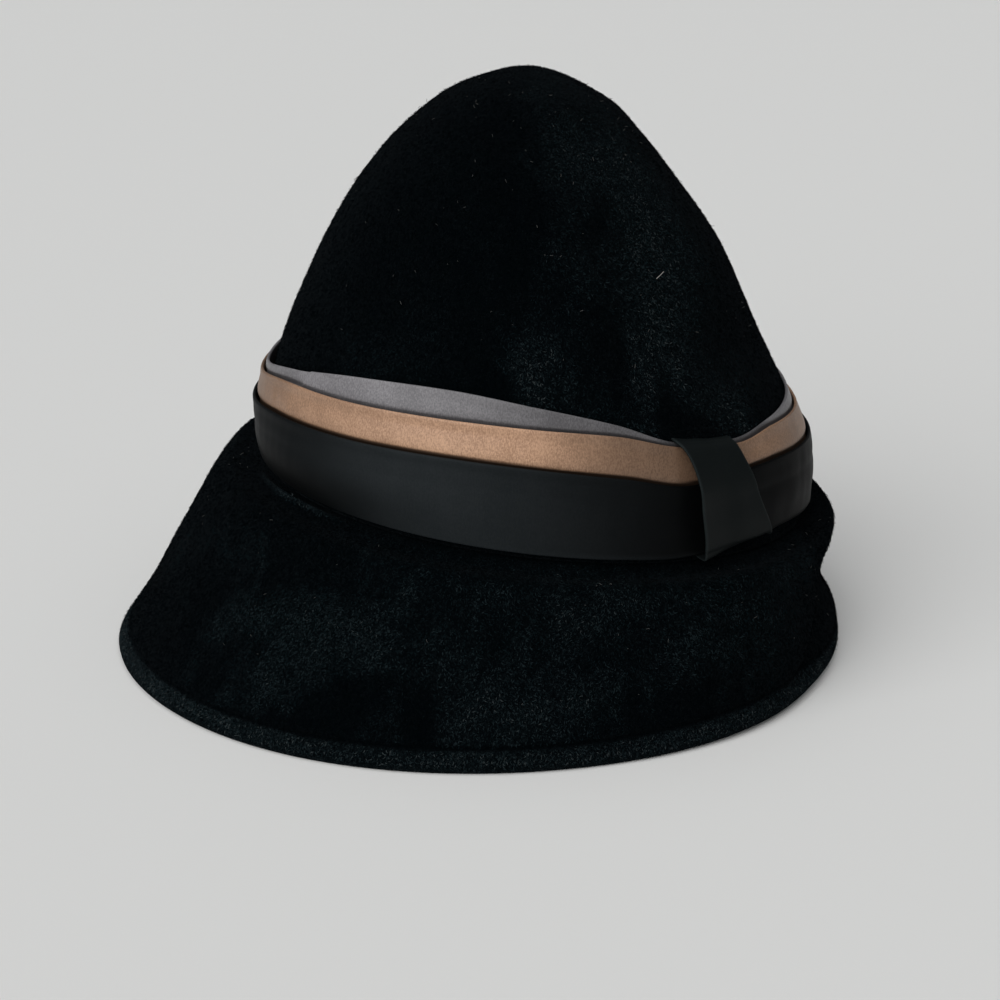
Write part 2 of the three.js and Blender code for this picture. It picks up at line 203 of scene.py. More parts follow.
@dataclass(frozen=True)
class HatForm:
    """The hat's shape: its sizes in metres and its sections as shares of them.

    The profile rises in shares of the crown's height, with its length, width and shift in shares of
    the head's. A dent is deep in shares of the head's width. The brim's sections push its skin out
    by shares of the head's height, at stations that are shares of the way up it.
    """

    rim_length: float = 279 * MM
    rim_width: float = 236 * MM
    head_length: float = 203 * MM
    head_width: float = 171 * MM
    head_back: float = 22 * MM
    head_height: float = 63.5 * MM
    head_tilt: float = 6.0
    crown_height: float = 148.5 * MM
    felt: float = 2.4 * MM
    collar_height: float = 9 * MM
    rim_ease: float = 1 * MM
    rim_lift: float = 1.5 * MM
    rim_lift_turn: float = 150.0
    clearance: float = 0.3 * MM
    profile_samples: int = 1200
    stations: tuple[float, ...] = (0, 0.25, 0.55, 0.86, 1)
    profile: Table = Table(
        "step rise length width shift",
        (
            (0, 0.00, 1.000, 1.000, 0.000),
            (1, 0.14, 0.985, 0.985, -0.012),
            (2, 0.30, 0.913, 0.933, -0.054),
            (3, 0.46, 0.802, 0.847, -0.089),
            (4, 0.62, 0.682, 0.742, -0.113),
            (5, 0.76, 0.536, 0.597, -0.142),
            (6, 0.87, 0.391, 0.438, -0.153),
            (7, 0.95, 0.241, 0.270, -0.156),
            (8, 1.00, 0.000, 0.000, -0.167),
            (9, 0.95, -0.241, -0.270, -0.156),
        ),
    )
    dents: Table = Table(
        "turn rise round tall deep",
        (
            (62, 0.52, 40, 0.30, 0.012),
            (122, 0.66, 34, 0.36, 0.022),
            (250, 0.60, 44, 0.34, 0.018),
        ),
    )
    sections: Table = Table(
        "turn waist swell shoulder reach",
        (
            (0, 0.03, 0.10, 0.14, 0.000),
            (30, 0.01, 0.05, 0.10, -0.003),
            (65, -0.01, 0.02, 0.06, 0.000),
            (105, -0.01, 0.02, 0.06, 0.000),
            (135, 0.005, 0.065, 0.11, 0.009),
            (155, 0.04, 0.06, 0.11, 0.000),
            (180, 0.02, -0.02, 0.17, 0.000),
            (215, -0.02, 0.05, 0.21, 0.000),
            (260, -0.01, 0.02, 0.08, 0.000),
            (325, 0.02, 0.10, 0.24, 0.003),
        ),
        True,
    )

    @property
    def tip(self) -> int:
        """The profile's last step, the crown's tip."""
        return len(self.profile.rows) - 2

    def crown(self, step: Array, turn: Array) -> Array:
        """Give points on the crown's outer skin, in the head line's frame.

        Args:
            step: places up the profile.
            turn: turns.

        Returns:
            The points.
        """
        columns = ("rise", "length", "width", "shift")
        rise, length, width, shift = (self.profile.at(column, step) for column in columns)
        dent = sum(
            deep * self.head_width * hump(turn_between(turn, at), round_) * hump(rise - up, tall)
            for at, up, round_, tall, deep in self.dents.rows
        )
        t = np.radians(turn)
        skin = vector(
            width * self.head_width * np.sin(t) / 2,
            (shift - length * np.cos(t)) * self.head_length / 2,
            rise * self.crown_height,
        )
        return skin - out_of(self.head_length, self.head_width, turn) * np.asarray(dent)[..., None]

    def head(self, height: Array, turn: Array, off: Array) -> Array:
        """Give points that stand off the crown's skin, straight down below the head line.

        Args:
            height: heights above the head line.
            turn: turns.
            off: distances off the skin.

        Returns:
            The points, in the head line's frame.
        """
        steps = np.linspace(0, self.tip, self.profile_samples)
        rises = self.profile.at("rise", steps) * self.crown_height
        skin = self.crown(np.interp(height, rises, steps), turn)
        skin[..., 2] = np.broadcast_to(height, skin.shape[:-1])
        return skin + out_of(self.head_length, self.head_width, turn) * np.asarray(off)[..., None]

    def in_hat(self, points: Array) -> Array:
        """Take points from the head line's frame into the hat's.

        Args:
            points: points in the head line's frame.

        Returns:
            The same points in the hat's frame.
        """
        a = math.radians(-self.head_tilt)
        x, y, z = np.moveaxis(points, -1, 0)
        return vector(
            x,
            y * math.cos(a) - z * math.sin(a) + self.head_back,
            y * math.sin(a) + z * math.cos(a) + self.head_height,
        )

    def rim(self, turn: Array) -> Array:
        """Give the rim's outermost line.

        Args:
            turn: turns.

        Returns:
            The points, in the hat's frame.
        """
        t = np.radians(turn)
        lift = self.rim_lift * hump(turn_between(turn, self.rim_lift_turn), 45)
        line = vector(
            self.rim_width * np.sin(t) / 2, -self.rim_length * np.cos(t) / 2, self.rim_ease + lift
        )
        reach = self.rim_width * self.sections.at("reach", turn)
        return line + out_of(self.rim_length, self.rim_width, turn) * reach[..., None]

    def brim(self, up: Array, turn: Array) -> Array:
        """Give points on the brim's outer skin.

        Args:
            up: shares of the way from the rim to the crown's foot.
            turn: turns.

        Returns:
            The points, in the hat's frame.
        """
        up, turn = np.broadcast_arrays(np.asarray(up, float), turn)
        rim = self.rim(turn)
        run = self.in_hat(self.head(np.full(turn.shape, -self.clearance), turn, 0.0)) - rim
        slant, level = np.linalg.norm(run, axis=-1), np.hypot(run[..., 0], run[..., 1])
        away = vector(
            -run[..., 0] / level * run[..., 2] / slant,
            -run[..., 1] / level * run[..., 2] / slant,
            level / slant,
        )
        none = np.zeros(turn.shape)
        pushes = [self.sections.at(column, turn) for column in ("waist", "swell", "shoulder")]
        push = self.head_height * through(self.stations, np.stack([none, *pushes, none]), up)
        return rim + run * up[..., None] + away * push[..., None]

    def slant(self, turn: Array) -> Array:
        """Give the straight distance from the rim to the crown's foot."""
        return np.linalg.norm(self.brim(1.0, turn) - self.brim(0.0, turn), axis=-1)


HAT = HatForm()


# Meshes


@dataclass
class Grid:
    """A grid of points whose rows run up or across a piece and whose columns run round it."""

    points: Array
    closed_columns: bool = True
    closed_rows: bool = False
    outer_row: int = 0

    def normals(self) -> Array:
        """Work out unit normals, to the right-hand side of the rows and columns.

        Returns:
            One for each point.
        """
        along_column = self._slope(0, self.closed_rows)
        along_row = self._slope(1, self.closed_columns)
        return unit(np.cross(along_row, along_column))

    def _slope(self, axis: int, closed: bool) -> Array:
        """Work out the slope along one axis.

        Args:
            axis: 0 from row to row, 1 from column to column.
            closed: whether the last comes round to the first.

        Returns:
            One step for each point.
        """
        if closed:
            return np.roll(self.points, -1, axis) - np.roll(self.points, 1, axis)
        return np.gradient(self.points, axis=axis)

    def up(self) -> Array:
        """Give unit directions from each row to the next."""
        return unit(self._slope(0, self.closed_rows))

    def faces(self) -> tuple[Array, Array]:
        """Give the quads and their corners' places in the unit square.

        Returns:
            The corner numbers of each quad, and the two coordinates of each corner.
        """
        rows, columns = self.points.shape[:2]
        r, c = np.meshgrid(
            np.arange(rows - (not self.closed_rows)),
            np.arange(columns - (not self.closed_columns)),
            indexing="ij",
        )
        r, c = r.ravel(), c.ravel()
        corners = [(r, c), (r, c + 1), (r + 1, c + 1), (r + 1, c)]
        quads = np.stack([(a % rows) * columns + b % columns for a, b in corners], -1)
        across = np.stack([b / columns for _, b in corners], -1)
        along = np.stack([a / rows for a, _ in corners], -1)
        return quads, np.stack([across, along], -1)


ROUNDING = np.radians((30, 60, 90, 120, 150))[:, None, None]


def rounded(outer: Array, inner: Array, way: Array) -> Array:
    """Round the edge between an outer and an inner line.

    Args:
        outer: the outer line's points.
        inner: the inner line's points.
        way: the unit direction out of the edge, one for all or one for each point.

    Returns:
        One line of points for each angle of the rounding, the first beside the outer line.
    """
    middle, half = (outer + inner) / 2, (outer - inner) / 2
    rise = way * np.linalg.norm(half, axis=-1, keepdims=True)
    return middle + half * np.cos(ROUNDING) + rise * np.sin(ROUNDING)


def tube_faces(count: int, rings: int, sides: int) -> Array:
    """Give the quads of open tubes whose points are listed ring by ring.

    Args:
        count: how many tubes.
        rings: how many rings each has.
        sides: how many points each ring has.

    Returns:
        The corner numbers of each quad.
    """
    ring, side = np.meshgrid(np.arange(rings - 1), np.arange(sides), indexing="ij")
    here, beside = ring * sides + side, ring * sides + (side + 1) % sides
    quads = np.stack([here, beside, beside + sides, here + sides], -1).reshape(-1, 4)
    return (quads + (np.arange(count) * rings * sides)[:, None, None]).reshape(-1, 4)


def add_mesh(
    name: str,
    points: Array,
    faces: Array,
    materials: Sequence[bpy.types.Material],
    uv: Union[Array, None] = None,
    picks: Union[Array, None] = None,
    smooth: bool = True,
    marks: Union[dict[str, Array], None] = None,
) -> bpy.types.Object:
    """Make an object from arrays.

    Args:
        name: the object's name.
        points: its vertices, one a row.
        faces: its faces, one a row, all with as many corners.
        materials: its materials.
        uv: two coordinates for each corner of each face.
        picks: each face's material number.
        smooth: whether it is shaded smooth.
        marks: named numbers, one for each vertex, that a finish can read.

    Returns:
        The object, linked to the scene.
    """
    mesh = bpy.data.meshes.new(name)
    count, sides = faces.shape
    mesh.vertices.add(len(points))
    mesh.vertices.foreach_set("co", np.ascontiguousarray(points, np.float32).ravel())
    mesh.loops.add(count * sides)
    mesh.loops.foreach_set("vertex_index", np.ascontiguousarray(faces, np.int32).ravel())
    mesh.polygons.add(count)
    mesh.polygons.foreach_set("loop_start", np.arange(0, count * sides, sides, dtype=np.int32))
    for material in materials:
        mesh.materials.append(material)
    if picks is not None:
        mesh.polygons.foreach_set("material_index", np.ascontiguousarray(picks, np.int32))
    mesh.polygons.foreach_set("use_smooth", np.full(count, smooth))
    mesh.update(calc_edges=True)
    if uv is not None:
        layer = mesh.uv_layers.new(name="OFBake")
        layer.data.foreach_set("uv", np.ascontiguousarray(uv, np.float32).ravel())
    for key, numbers in (marks or {}).items():
        mark = mesh.attributes.new(key, "FLOAT", "POINT")
        mark.data.foreach_set("value", np.ascontiguousarray(numbers, np.float32).ravel())
    obj = bpy.data.objects.new(name, mesh)
    bpy.context.scene.collection.objects.link(obj)
    return obj


def add_grid(
    name: str, grid: Grid, material: bpy.types.Material, marks: Union[dict[str, Array], None] = None
) -> bpy.types.Object:
    """Make an object from a grid, with any marks its finish reads."""
    quads, uv = grid.faces()
    return add_mesh(name, grid.points.reshape(-1, 3), quads, [material], uv, marks=marks)


# Finishes


class Value:
    """An output of a material's node tree that takes Python's arithmetic."""

    def __init__(self, graph: "Graph", socket: bpy.types.NodeSocket) -> None:
        """Wrap a socket."""
        self.graph, self.socket = graph, socket

    def _with(self, operation: str, other: Any, swapped: bool = False) -> "Value":
        """Combine with a number or another value.

        Args:
            operation: the node's operation.
            other: a number, a tuple or a value.
            swapped: whether this value comes second.

        Returns:
            The result.
        """
        a, b = (other, self) if swapped else (self, other)
        if self.socket.type == "VECTOR":
            return self.graph.node("ShaderNodeVectorMath", {"operation": operation}, {0: a, 1: b})
        return self.graph.node("ShaderNodeMath", {"operation": operation}, {0: a, 1: b})

    def __add__(self, other: Any) -> "Value":
        """Add."""
        return self._with("ADD", other)

    def __sub__(self, other: Any) -> "Value":
        """Subtract."""
        return self._with("SUBTRACT", other)

    def __rsub__(self, other: Any) -> "Value":
        """Subtract from a number."""
        return self._with("SUBTRACT", other, True)

    def __mul__(self, other: Any) -> "Value":
        """Multiply."""
        return self._with("MULTIPLY", other)

    __radd__ = __add__
    __rmul__ = __mul__

    def ease(self, low: float, high: float) -> "Value":
        """Rise smoothly from 0 at low to 1 at high."""
        settings = {"interpolation_type": "SMOOTHSTEP", "clamp": True}
        return self.graph.node("ShaderNodeMapRange", settings, {0: self, 1: low, 2: high, 3: 0.0, 4: 1.0})

    def mix(self, a: Any, b: Any) -> "Value":
        """Mix two colours by this value, from a at 0 to b at 1."""
        settings = {"data_type": "RGBA"}
        return self.graph.node("ShaderNodeMix", settings, {0: self, 6: a, 7: b}, 2)


class Graph:
    """A material's node tree."""

    def __init__(self, name: str) -> None:
        """Make a material with a Principled shader.

        Args:
            name: the material's name.
        """
        self.material = bpy.data.materials.new(name)
        self.material.use_nodes = True
        self.tree = self.material.node_tree
        self.shader = self.tree.nodes["Principled BSDF"]

    def node(
        self, kind: str, settings: dict[str, Any], inputs: dict[Any, Any], output: int = 0
    ) -> Value:
        """Add a node.

        Args:
            kind: its type.
            settings: its properties.
            inputs: values or numbers for its sockets, by name or number.
            output: the number of the output wanted.

        Returns:
            That output.
        """
        node = self.tree.nodes.new(kind)
        for key, value in settings.items():
            setattr(node, key, value)
        for key, value in inputs.items():
            self.feed(node.inputs[key], value)
        return Value(self, node.outputs[output])

    def feed(self, socket: bpy.types.NodeSocket, value: Any) -> None:
        """Link a value to a socket, or set a number or colour on it.

        Args:
            socket: the socket.
            value: a value, a number or a colour.
        """
        if isinstance(value, Value):
            self.tree.links.new(value.socket, socket)
        else:
            wide = socket.type == "RGBA" and len(value) == 3
            socket.default_value = (*value, 1.0) if wide else value

    def surface(self, **sockets: Any) -> bpy.types.Material:
        """Set the Principled shader's sockets, named with underscores for spaces.

        Args:
            **sockets: values, numbers or colours.

        Returns:
            The material.
        """
        for name, value in sockets.items():
            self.feed(self.shader.inputs[name.replace("_", " ")], value)
        return self.material

    def place(self) -> Value:
        """Give the place on the object, in metres."""
        return self.node("ShaderNodeTexCoord", {}, {}, 3)

    def mark(self, name: str) -> Value:
        """Give the numbers that the mesh holds under a name."""
        return self.node("ShaderNodeAttribute", {"attribute_name": name}, {}, 2)

    def noise(
        self, at: Value, scale: Any, detail: float = 2.0, rough: float = 0.5, curl: float = 0.0
    ) -> Value:
        """Add noise from 0 to 1.

        Args:
            at: the place.
            scale: cells a metre, one number or one for each axis.
            detail: octaves.
            rough: how much each finer octave counts.
            curl: how far it curls round itself.

        Returns:
            The noise.
        """
        stretched = at * (scale if isinstance(scale, tuple) else (scale,) * 3)
        inputs = {"Vector": stretched, "Scale": 1.0, "Detail": detail}
        inputs |= {"Roughness": rough, "Distortion": curl}
        return self.node("ShaderNodeTexNoise", {}, inputs)

    def bump(self, height: Value, distance: float, strength: float = 1.0) -> Value:
        """Turn a height into a normal.

        Args:
            height: the height, from 0 to 1.
            distance: how far 1 stands out, in metres.
            strength: how much of it shows.

        Returns:
            The normal.
        """
        inputs = {"Height": height, "Distance": distance, "Strength": strength}
        return self.node("ShaderNodeBump", {}, inputs)


@dataclass(frozen=True)
class Velour:
    """Velour felt: a deep ground that takes the nap's lighter colour where the mesh's mark "brushed" is
    high.

    The mark is partly real and partly painted light: patches where the nap is raised, painted lighter as
    the sheen they show, a painted highlight along the hem, the rim's round edge and the crease in front,
    and painted shade in the hem's groove; 0 dark, 1 lightest.
    """

    name: str
    ground: Colour = (0.0004, 0.0010, 0.0014)
    nap: Colour = (0.0145, 0.0222, 0.0250)
    grain: float = 1150.0
    sheen: float = 0.014

    def material(self) -> bpy.types.Material:
        """Build the finish.

        Returns:
            The material.
        """
        graph = Graph(self.name)
        at = graph.place()
        curls = graph.noise(at, self.grain, 2.0, 0.6, 1.8).ease(0.46, 0.72)
        tufts = graph.noise(at, self.grain * 0.34, 2.0, 0.6, 0.8).ease(0.36, 0.70)
        pile = graph.noise(at, self.grain * 2.4, 1.0)
        # Where the mark is high the ground takes the nap's colour: raised nap with painted sheen and
        # highlights, and painted shade where the mark is low.
        lit = graph.mark("brushed") * 0.92 + 0.08
        shown = lit * (curls * (tufts * 0.55 + 0.35) + 0.04)
        height = curls * 0.5 + tufts * 0.3 + pile * 0.2
        return graph.surface(
            Base_Color=shown.mix(self.ground, self.nap),
            Roughness=0.95,
            Specular_IOR_Level=0.0,
            Sheen_Weight=self.sheen,
            Sheen_Roughness=0.5,
            Sheen_Tint=(0.82, 0.92, 1.0),
            Normal=graph.bump(height, 0.4 * MM, 0.8),
        )


@dataclass(frozen=True)
class Satin:
    """Satin cut on the bias: a smooth face with a fine grain, whose tone differs at random.

    The mesh's mark "lustre" holds painted light and shade: 1 the full colour, 0 a near-black painted
    shade, as down in a fold.
    """

    name: str
    base: Colour
    shade: Colour
    roughness: float = 0.42
    specular: float = 0.5
    sheen: float = 0.2
    grain: float = 2000.0

    def material(self) -> bpy.types.Material:
        """Build the finish.

        Returns:
            The material.
        """
        graph = Graph(self.name)
        at = graph.place()
        cloud = graph.noise(at, 60.0, 3.0, 0.55)
        twill = graph.noise(at, (self.grain, self.grain, self.grain * 0.6), 2.0, 0.7)
        thread = graph.noise(at, (3200.0, 3200.0, 700.0), 1.0)
        tone = cloud * 0.30 + twill * 0.50 + thread * 0.20
        weave = twill * 0.5 + thread * 0.5
        # Deep is a near-black painted shade, which the mark mixes in down in folds and under the next
        # band's edge.
        deep = tuple(0.06 * channel for channel in self.shade)
        return graph.surface(
            Base_Color=graph.mark("painted_light").mix(deep, tone.ease(0.38, 0.62).mix(self.shade, self.base)),
            Roughness=weave * 0.16 + (self.roughness - 0.08),
            Specular_IOR_Level=self.specular,
            Sheen_Weight=self.sheen,
            Sheen_Roughness=0.35,
            Sheen_Tint=self.base,
            Normal=graph.bump(weave, 0.05 * MM, 0.6),
        )


@dataclass(frozen=True)
class Plain:
    """One even finish, for fibres, thread and the floor."""

    name: str
    colour: Colour
    roughness: float = 0.9
    specular: float = 0.1
    sheen: float = 0.0

    def material(self) -> bpy.types.Material:
        """Build the finish.

        Returns:
            The material.
        """
        return Graph(self.name).surface(
            Base_Color=self.colour,
            Roughness=self.roughness,
            Specular_IOR_Level=self.specular,
            Sheen_Weight=self.sheen,
        )


# Felt


@dataclass(frozen=True)
class Nap:
    """Short hooked fibres on a felt surface, combed one way with some swirl.

    The steps are how brightly a fibre has to be lit to take the next lighter finish.
    """

    count: int
    length: float = 1.3 * MM
    width: float = 0.11 * MM
    lift: float = 0.35
    swirl: float = 1.1
    hook: float = 0.9
    seed: int = 5
    steps: tuple[float, float, float] = (0.28, 0.52, 0.98)

    def grow(
        self, name: str, grid: Grid, brushed: Array, materials: Sequence[bpy.types.Material]
    ) -> bpy.types.Object:
        """Plant the fibres over a grid.

        Args:
            name: the new piece's name.
            grid: the surface, with rows from its top down or its foot up.
            brushed: from 0 to 1, how far the nap is raised and how much painted light it takes at each
                point; lighter fibres go where it is high.
            materials: the fibres' finishes, from dark to light.

        Returns:
            The piece.
        """
        rng = np.random.default_rng(self.seed)
        quads, _ = grid.faces()
        corners = grid.points.reshape(-1, 3)[quads]
        size = np.linalg.norm(
            np.cross(corners[:, 2] - corners[:, 0], corners[:, 3] - corners[:, 1]), axis=-1
        )
        chosen = rng.choice(len(quads), self.count, p=size / size.sum())
        a, b = rng.random((2, self.count, 1))

        def spread(values: Array) -> Array:
            """Read a corner quantity at the fibres' roots."""
            p, q, r, s = np.moveaxis(values.reshape(-1, values.shape[-1])[quads[chosen]], 1, 0)
            return p * (1 - a) * (1 - b) + q * a * (1 - b) + r * a * b + s * (1 - a) * b

        root, out, comb = spread(grid.points), unit(spread(grid.normals())), unit(-spread(grid.up()))
        side = unit(np.cross(out, comb))
        eddies = Noise(self.seed + 1)(root, (60.0, 60.0, 40.0))
        angle = self.swirl * (eddies + rng.normal(0, 0.5, self.count))

        def heading(turned: Array, lift: Array) -> Array:
            """Give the way a fibre runs: turned from the comb's way and lifted off the skin."""
            lying = comb * np.cos(turned)[:, None] + side * np.sin(turned)[:, None]
            return unit(lying * np.cos(lift) + out * np.sin(lift))

        lift = self.lift * rng.uniform(0.3, 1.6, self.count)[:, None]
        half = self.length * rng.uniform(0.5, 1.35, self.count)[:, None] / 2
        wide = self.width * rng.uniform(0.6, 1.3, self.count)[:, None]
        root = root - out * 0.05 * MM
        bend = root + heading(angle, lift) * half
        tip = bend + heading(angle + self.hook * rng.choice((-1, 1), self.count), lift * 0.4) * half
        across = unit(np.cross(tip - root, out + 0.3 * rng.normal(size=out.shape))) * wide / 2
        points = np.stack([root - across, root + across, bend, tip], 1)
        fibre = np.arange(self.count)[:, None] * 4
        faces = np.concatenate([fibre + (0, 1, 2), fibre + (0, 2, 3)])
        light = spread(brushed[..., None])[:, 0] * rng.uniform(0, 1.5, self.count)
        picks = np.digitize(light, self.steps).clip(0, len(materials) - 1)
        return add_mesh(name, points.reshape(-1, 3), faces, materials, None, np.tile(picks, 2), False)


@dataclass(frozen=True)
class NapAndSheenPatches:
    """Where the nap is raised and painted lighter as its sheen: soft ragged patches, each with its place,
    reach and amount.
    """

    patches: Table
    seed: int

    def at(self, turn: Array, place: Array, points: Array) -> Array:
        """Read how far the nap is raised and painted lighter as its sheen.

        Args:
            turn: turns.
            place: heights in millimetres or shares of the way up, like the patches' second column.
            points: the same places as points, for the raggedness.

        Returns:
            Numbers from 0 to 1.
        """
        ragged, fine = Noise(self.seed), Noise(self.seed + 1)
        slow, quick = ragged(points, 55.0), ragged(points + 1, (190.0, 190.0, 75.0))
        flat = np.ones(turn.shape)
        for at, middle, round_, tall, amount in self.patches.rows:
            across = turn_between(turn, at) / round_ + 0.30 * slow + 0.20 * quick
            along = (place - middle) / tall + 0.30 * slow + 0.20 * quick
            flat = flat * (1 - amount * hump(np.hypot(across, along), 1.0))
        clouds = ease(slow + 0.6 * quick + 0.5 * fine(points, 380.0), -0.7, 0.9)
        return np.clip((1 - flat) * (0.5 + 0.6 * clouds) + 0.12 * clouds, 0, 1)


@dataclass
class FeltBody:
    """The crown and the brim, with their nap, the hem's stitches and the lint on them."""

    crown_columns: int = 400
    crown_rows: int = 128
    brim_columns: int = 560
    hem_row: float = 0.45 * MM
    hem_width: float = 8.5 * MM
    hem_wall: float = 4 * MM
    hem_turned: float = 1.2 * MM
    # How much painted highlight the hem and the rim's round edge take.
    hem_painted_light: float = 1.25
    nap_top: float = 0.82
    nap_inside: float = 0.2
    even_below: float = 30 * MM
    uneven_from: float = 50 * MM
    groove: float = 0.8 * MM
    groove_width: float = 2.4 * MM
    stitch_count: int = 248
    stitch_inset: float = 1.6 * MM
    crown_nap: Nap = Nap(95000)
    brim_nap: Nap = Nap(98000, seed=8)
    crown_lint: int = 190
    brim_lint: int = 120
    velour: Velour = Velour("velour")
    naps: tuple[Plain, ...] = (
        Plain("nap_dark", (0.0006, 0.0013, 0.0018), 0.9, 0.0),
        Plain("nap_middle", (0.0035, 0.0066, 0.0078), 0.9, 0.0),
        Plain("nap_light", (0.0092, 0.0145, 0.0165), 0.9, 0.0),
        Plain("nap_bright", (0.0225, 0.0285, 0.0300), 0.9, 0.05),
    )
    thread: Plain = Plain("thread", (0.010, 0.011, 0.012), 0.6, 0.4)
    lints: tuple[Plain, ...] = (
        Plain("lint_pale", (0.34, 0.33, 0.31)),
        Plain("lint_speck", (0.075, 0.075, 0.072)),
    )
    relief: Noise = field(default_factory=lambda: Noise(11))
    # Patches on the crown where the nap is raised, painted lighter as the sheen the lit nap shows.
    crown_nap_and_sheen: NapAndSheenPatches = NapAndSheenPatches(
        Table(
            "turn height round tall amount",
            (
                (128, 88, 62, 96, 0.34),
                (100, 139, 40, 24, 0.50),
                (134, 130, 36, 34, 0.65),
                (97, 121, 20, 26, 0.75),
                (142, 112, 20, 34, 0.50),
                (130, 98, 17, 34, 0.80),
                (122, 72, 15, 32, 0.80),
                (92, 68, 17, 24, 0.70),
                (98, 98, 16, 24, 0.40),
                (141, 50, 22, 24, 0.60),
                (60, 60, 30, 40, 0.18),
                (205, 80, 50, 60, 0.55),
                (285, 95, 40, 50, 0.55),
                (335, 60, 30, 40, 0.35),
            ),
        ),
        61,
    )
    # Patches on the brim where the nap is raised, painted lighter as the sheen the lit nap shows.
    brim_nap_and_sheen: NapAndSheenPatches = NapAndSheenPatches(
        Table(
            "turn up round tall amount",
            (
                (96, 0.55, 88, 0.90, 0.50),
                (46, 0.62, 32, 0.40, 0.28),
                (72, 0.78, 30, 0.30, 0.45),
                (102, 0.80, 34, 0.30, 0.52),
                (104, 0.46, 34, 0.42, 0.30),
                (130, 0.60, 28, 0.46, 0.38),
                (142, 0.84, 26, 0.28, 0.55),
                (220, 0.60, 40, 0.50, 0.50),
                (290, 0.50, 45, 0.50, 0.50),
                (350, 0.70, 26, 0.40, 0.30),
            ),
        ),
        71,
    )
    valley: float = 1.7 * MM
    crease: float = 2.2 * MM
    fold: Table = Table(
        "up turn",
        ((0.0, 140.0), (0.10, 142.2), (0.23, 147.3), (0.42, 153.6), (0.67, 159.3), (1.0, 166.0)),
    )
    fold_depth: float = 2.6 * MM

    def uneven(self, points: Array, amount: Array) -> Array:
        """Give the felt's own unevenness, in metres out of its surface.

        Args:
            points: places on the felt.
            amount: a share of it, for places that something lies against.

        Returns:
            The heights.
        """
        slow = 0.45 * MM * self.relief(points, 26.0) + 0.22 * MM * self.relief(points + 3, 75.0)
        tufts = 0.07 * MM * self.relief(points + 7, (420.0, 420.0, 260.0))
        return (slow + tufts) * amount

    def build(self) -> list[bpy.types.Object]:
        """Build the crown, the brim and what is on them.

        Returns:
            The pieces.
        """
        felt, naps = self.velour.material(), [nap.material() for nap in self.naps]
        crown_outer, crown, crown_marks = self.crown_grid()
        brim_outer, brim, brim_marks = self.brim_grid()
        brim_lit = np.minimum(brim_marks, self.nap_top)
        pieces = [
            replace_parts(self.dressed("felt_crown", crown, felt, crown_marks), CadNode.CROWN.value),
            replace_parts(self.dressed("felt_brim", brim, felt, brim_marks), CadNode.BRIM.value),
            self.crown_nap.grow("nap_crown", crown_outer, crown_marks, naps),
            self.brim_nap.grow("nap_brim", brim_outer, brim_lit, naps),
            self.stitches(),
            self.lint(crown_outer, brim_outer),
        ]
        return pieces

    def dressed(
        self, name: str, grid: Grid, felt: bpy.types.Material, brushed: Array
    ) -> bpy.types.Object:
        """Make a felt piece from a grid; its inside, which comes last, lies flat and dark.

        Args:
            name: the piece's name.
            grid: its whole surface.
            felt: its finish.
            brushed: how far the nap of its outer skin is raised, with the painted light and shade on it.

        Returns:
            The piece.
        """
        marks = np.full(grid.points.shape[:2], self.nap_inside)
        first = grid.outer_row
        # The rim's round edge takes a painted highlight.
        marks[:first] = self.hem_painted_light * 0.8
        marks[first : first + len(brushed)] = brushed
        return add_grid(name, grid, felt, {"brushed": marks})

    def crown_grid(self) -> tuple[Grid, Grid, Array]:
        """Shape the crown.

        Returns:
            Its outer skin, its whole closed surface, and how far the skin's nap is raised and painted
            lighter as its sheen.
        """
        turn = np.linspace(0, 360, self.crown_columns, endpoint=False)[None]
        steps = np.append(np.linspace(0, HAT.tip, self.crown_rows, endpoint=False), HAT.tip - 0.012)
        skin = HAT.crown(steps[:, None], turn)
        free = ease(skin[..., 2], self.even_below, self.uneven_from)
        near_tip = 1 - ease(steps[:, None], HAT.tip - 0.5, HAT.tip - 0.1)
        outer = Grid(HAT.in_hat(skin))
        outer.points += outer.normals() * self.uneven(outer.points, free * near_tip)[..., None]
        inner = outer.points[::-4] - outer.normals()[::-4] * HAT.felt
        whole = Grid(np.concatenate([outer.points, inner]), closed_rows=True)
        turns = np.broadcast_to(turn, skin.shape[:2])
        return outer, whole, self.crown_nap_and_sheen.at(turns, skin[..., 2] / MM, outer.points)

    def brim_grid(self) -> tuple[Grid, Grid, Array]:
        """Shape the brim: round rim, hem with its groove, skin, ledge, collar and inside.

        Returns:
            Its outer skin, its whole closed surface, and how far the skin's nap is raised, painted
            lighter as its sheen, with a painted highlight on the hem and the crease in front and painted
            shade in the hem's groove.
        """
        turn = np.linspace(0, 360, self.brim_columns, endpoint=False)
        slant, half = HAT.slant(turn), self.hem_wall / 2
        fine = np.arange(half, self.hem_width + 3 * MM, self.hem_row)
        hem_top, shoulder = fine[-1] / slant, HAT.stations[-2]
        shares = np.append(np.linspace(0, shoulder, 40)[1:], np.linspace(shoulder, 1, 25)[1:])
        above = [hem_top + (1 - hem_top) * share for share in shares]
        ups = np.stack([along / slant for along in fine] + above)
        turns = np.broadcast_to(turn, ups.shape)
        skin = Grid(HAT.brim(ups, turns))
        normals, along = skin.normals(), ups * slant
        amount = ease(along, 0, 6 * MM) * (1 - ease(ups, shoulder, 0.97))
        skin.points += normals * self.uneven(skin.points, amount)[..., None]
        skin.points -= normals * self.sunk(ups, along, turns)[..., None]

        def rolled(angle: float) -> Array:
            """Give one line of the rim's round edge.

            Args:
                angle: its place, from 0 on the outside to 180 on the inside.

            Returns:
                The points.
            """
            a = math.radians(angle)
            base = HAT.brim((half - half * math.sin(a)) / slant, turn)
            return base - normals[0] * half * (1 - math.cos(a))

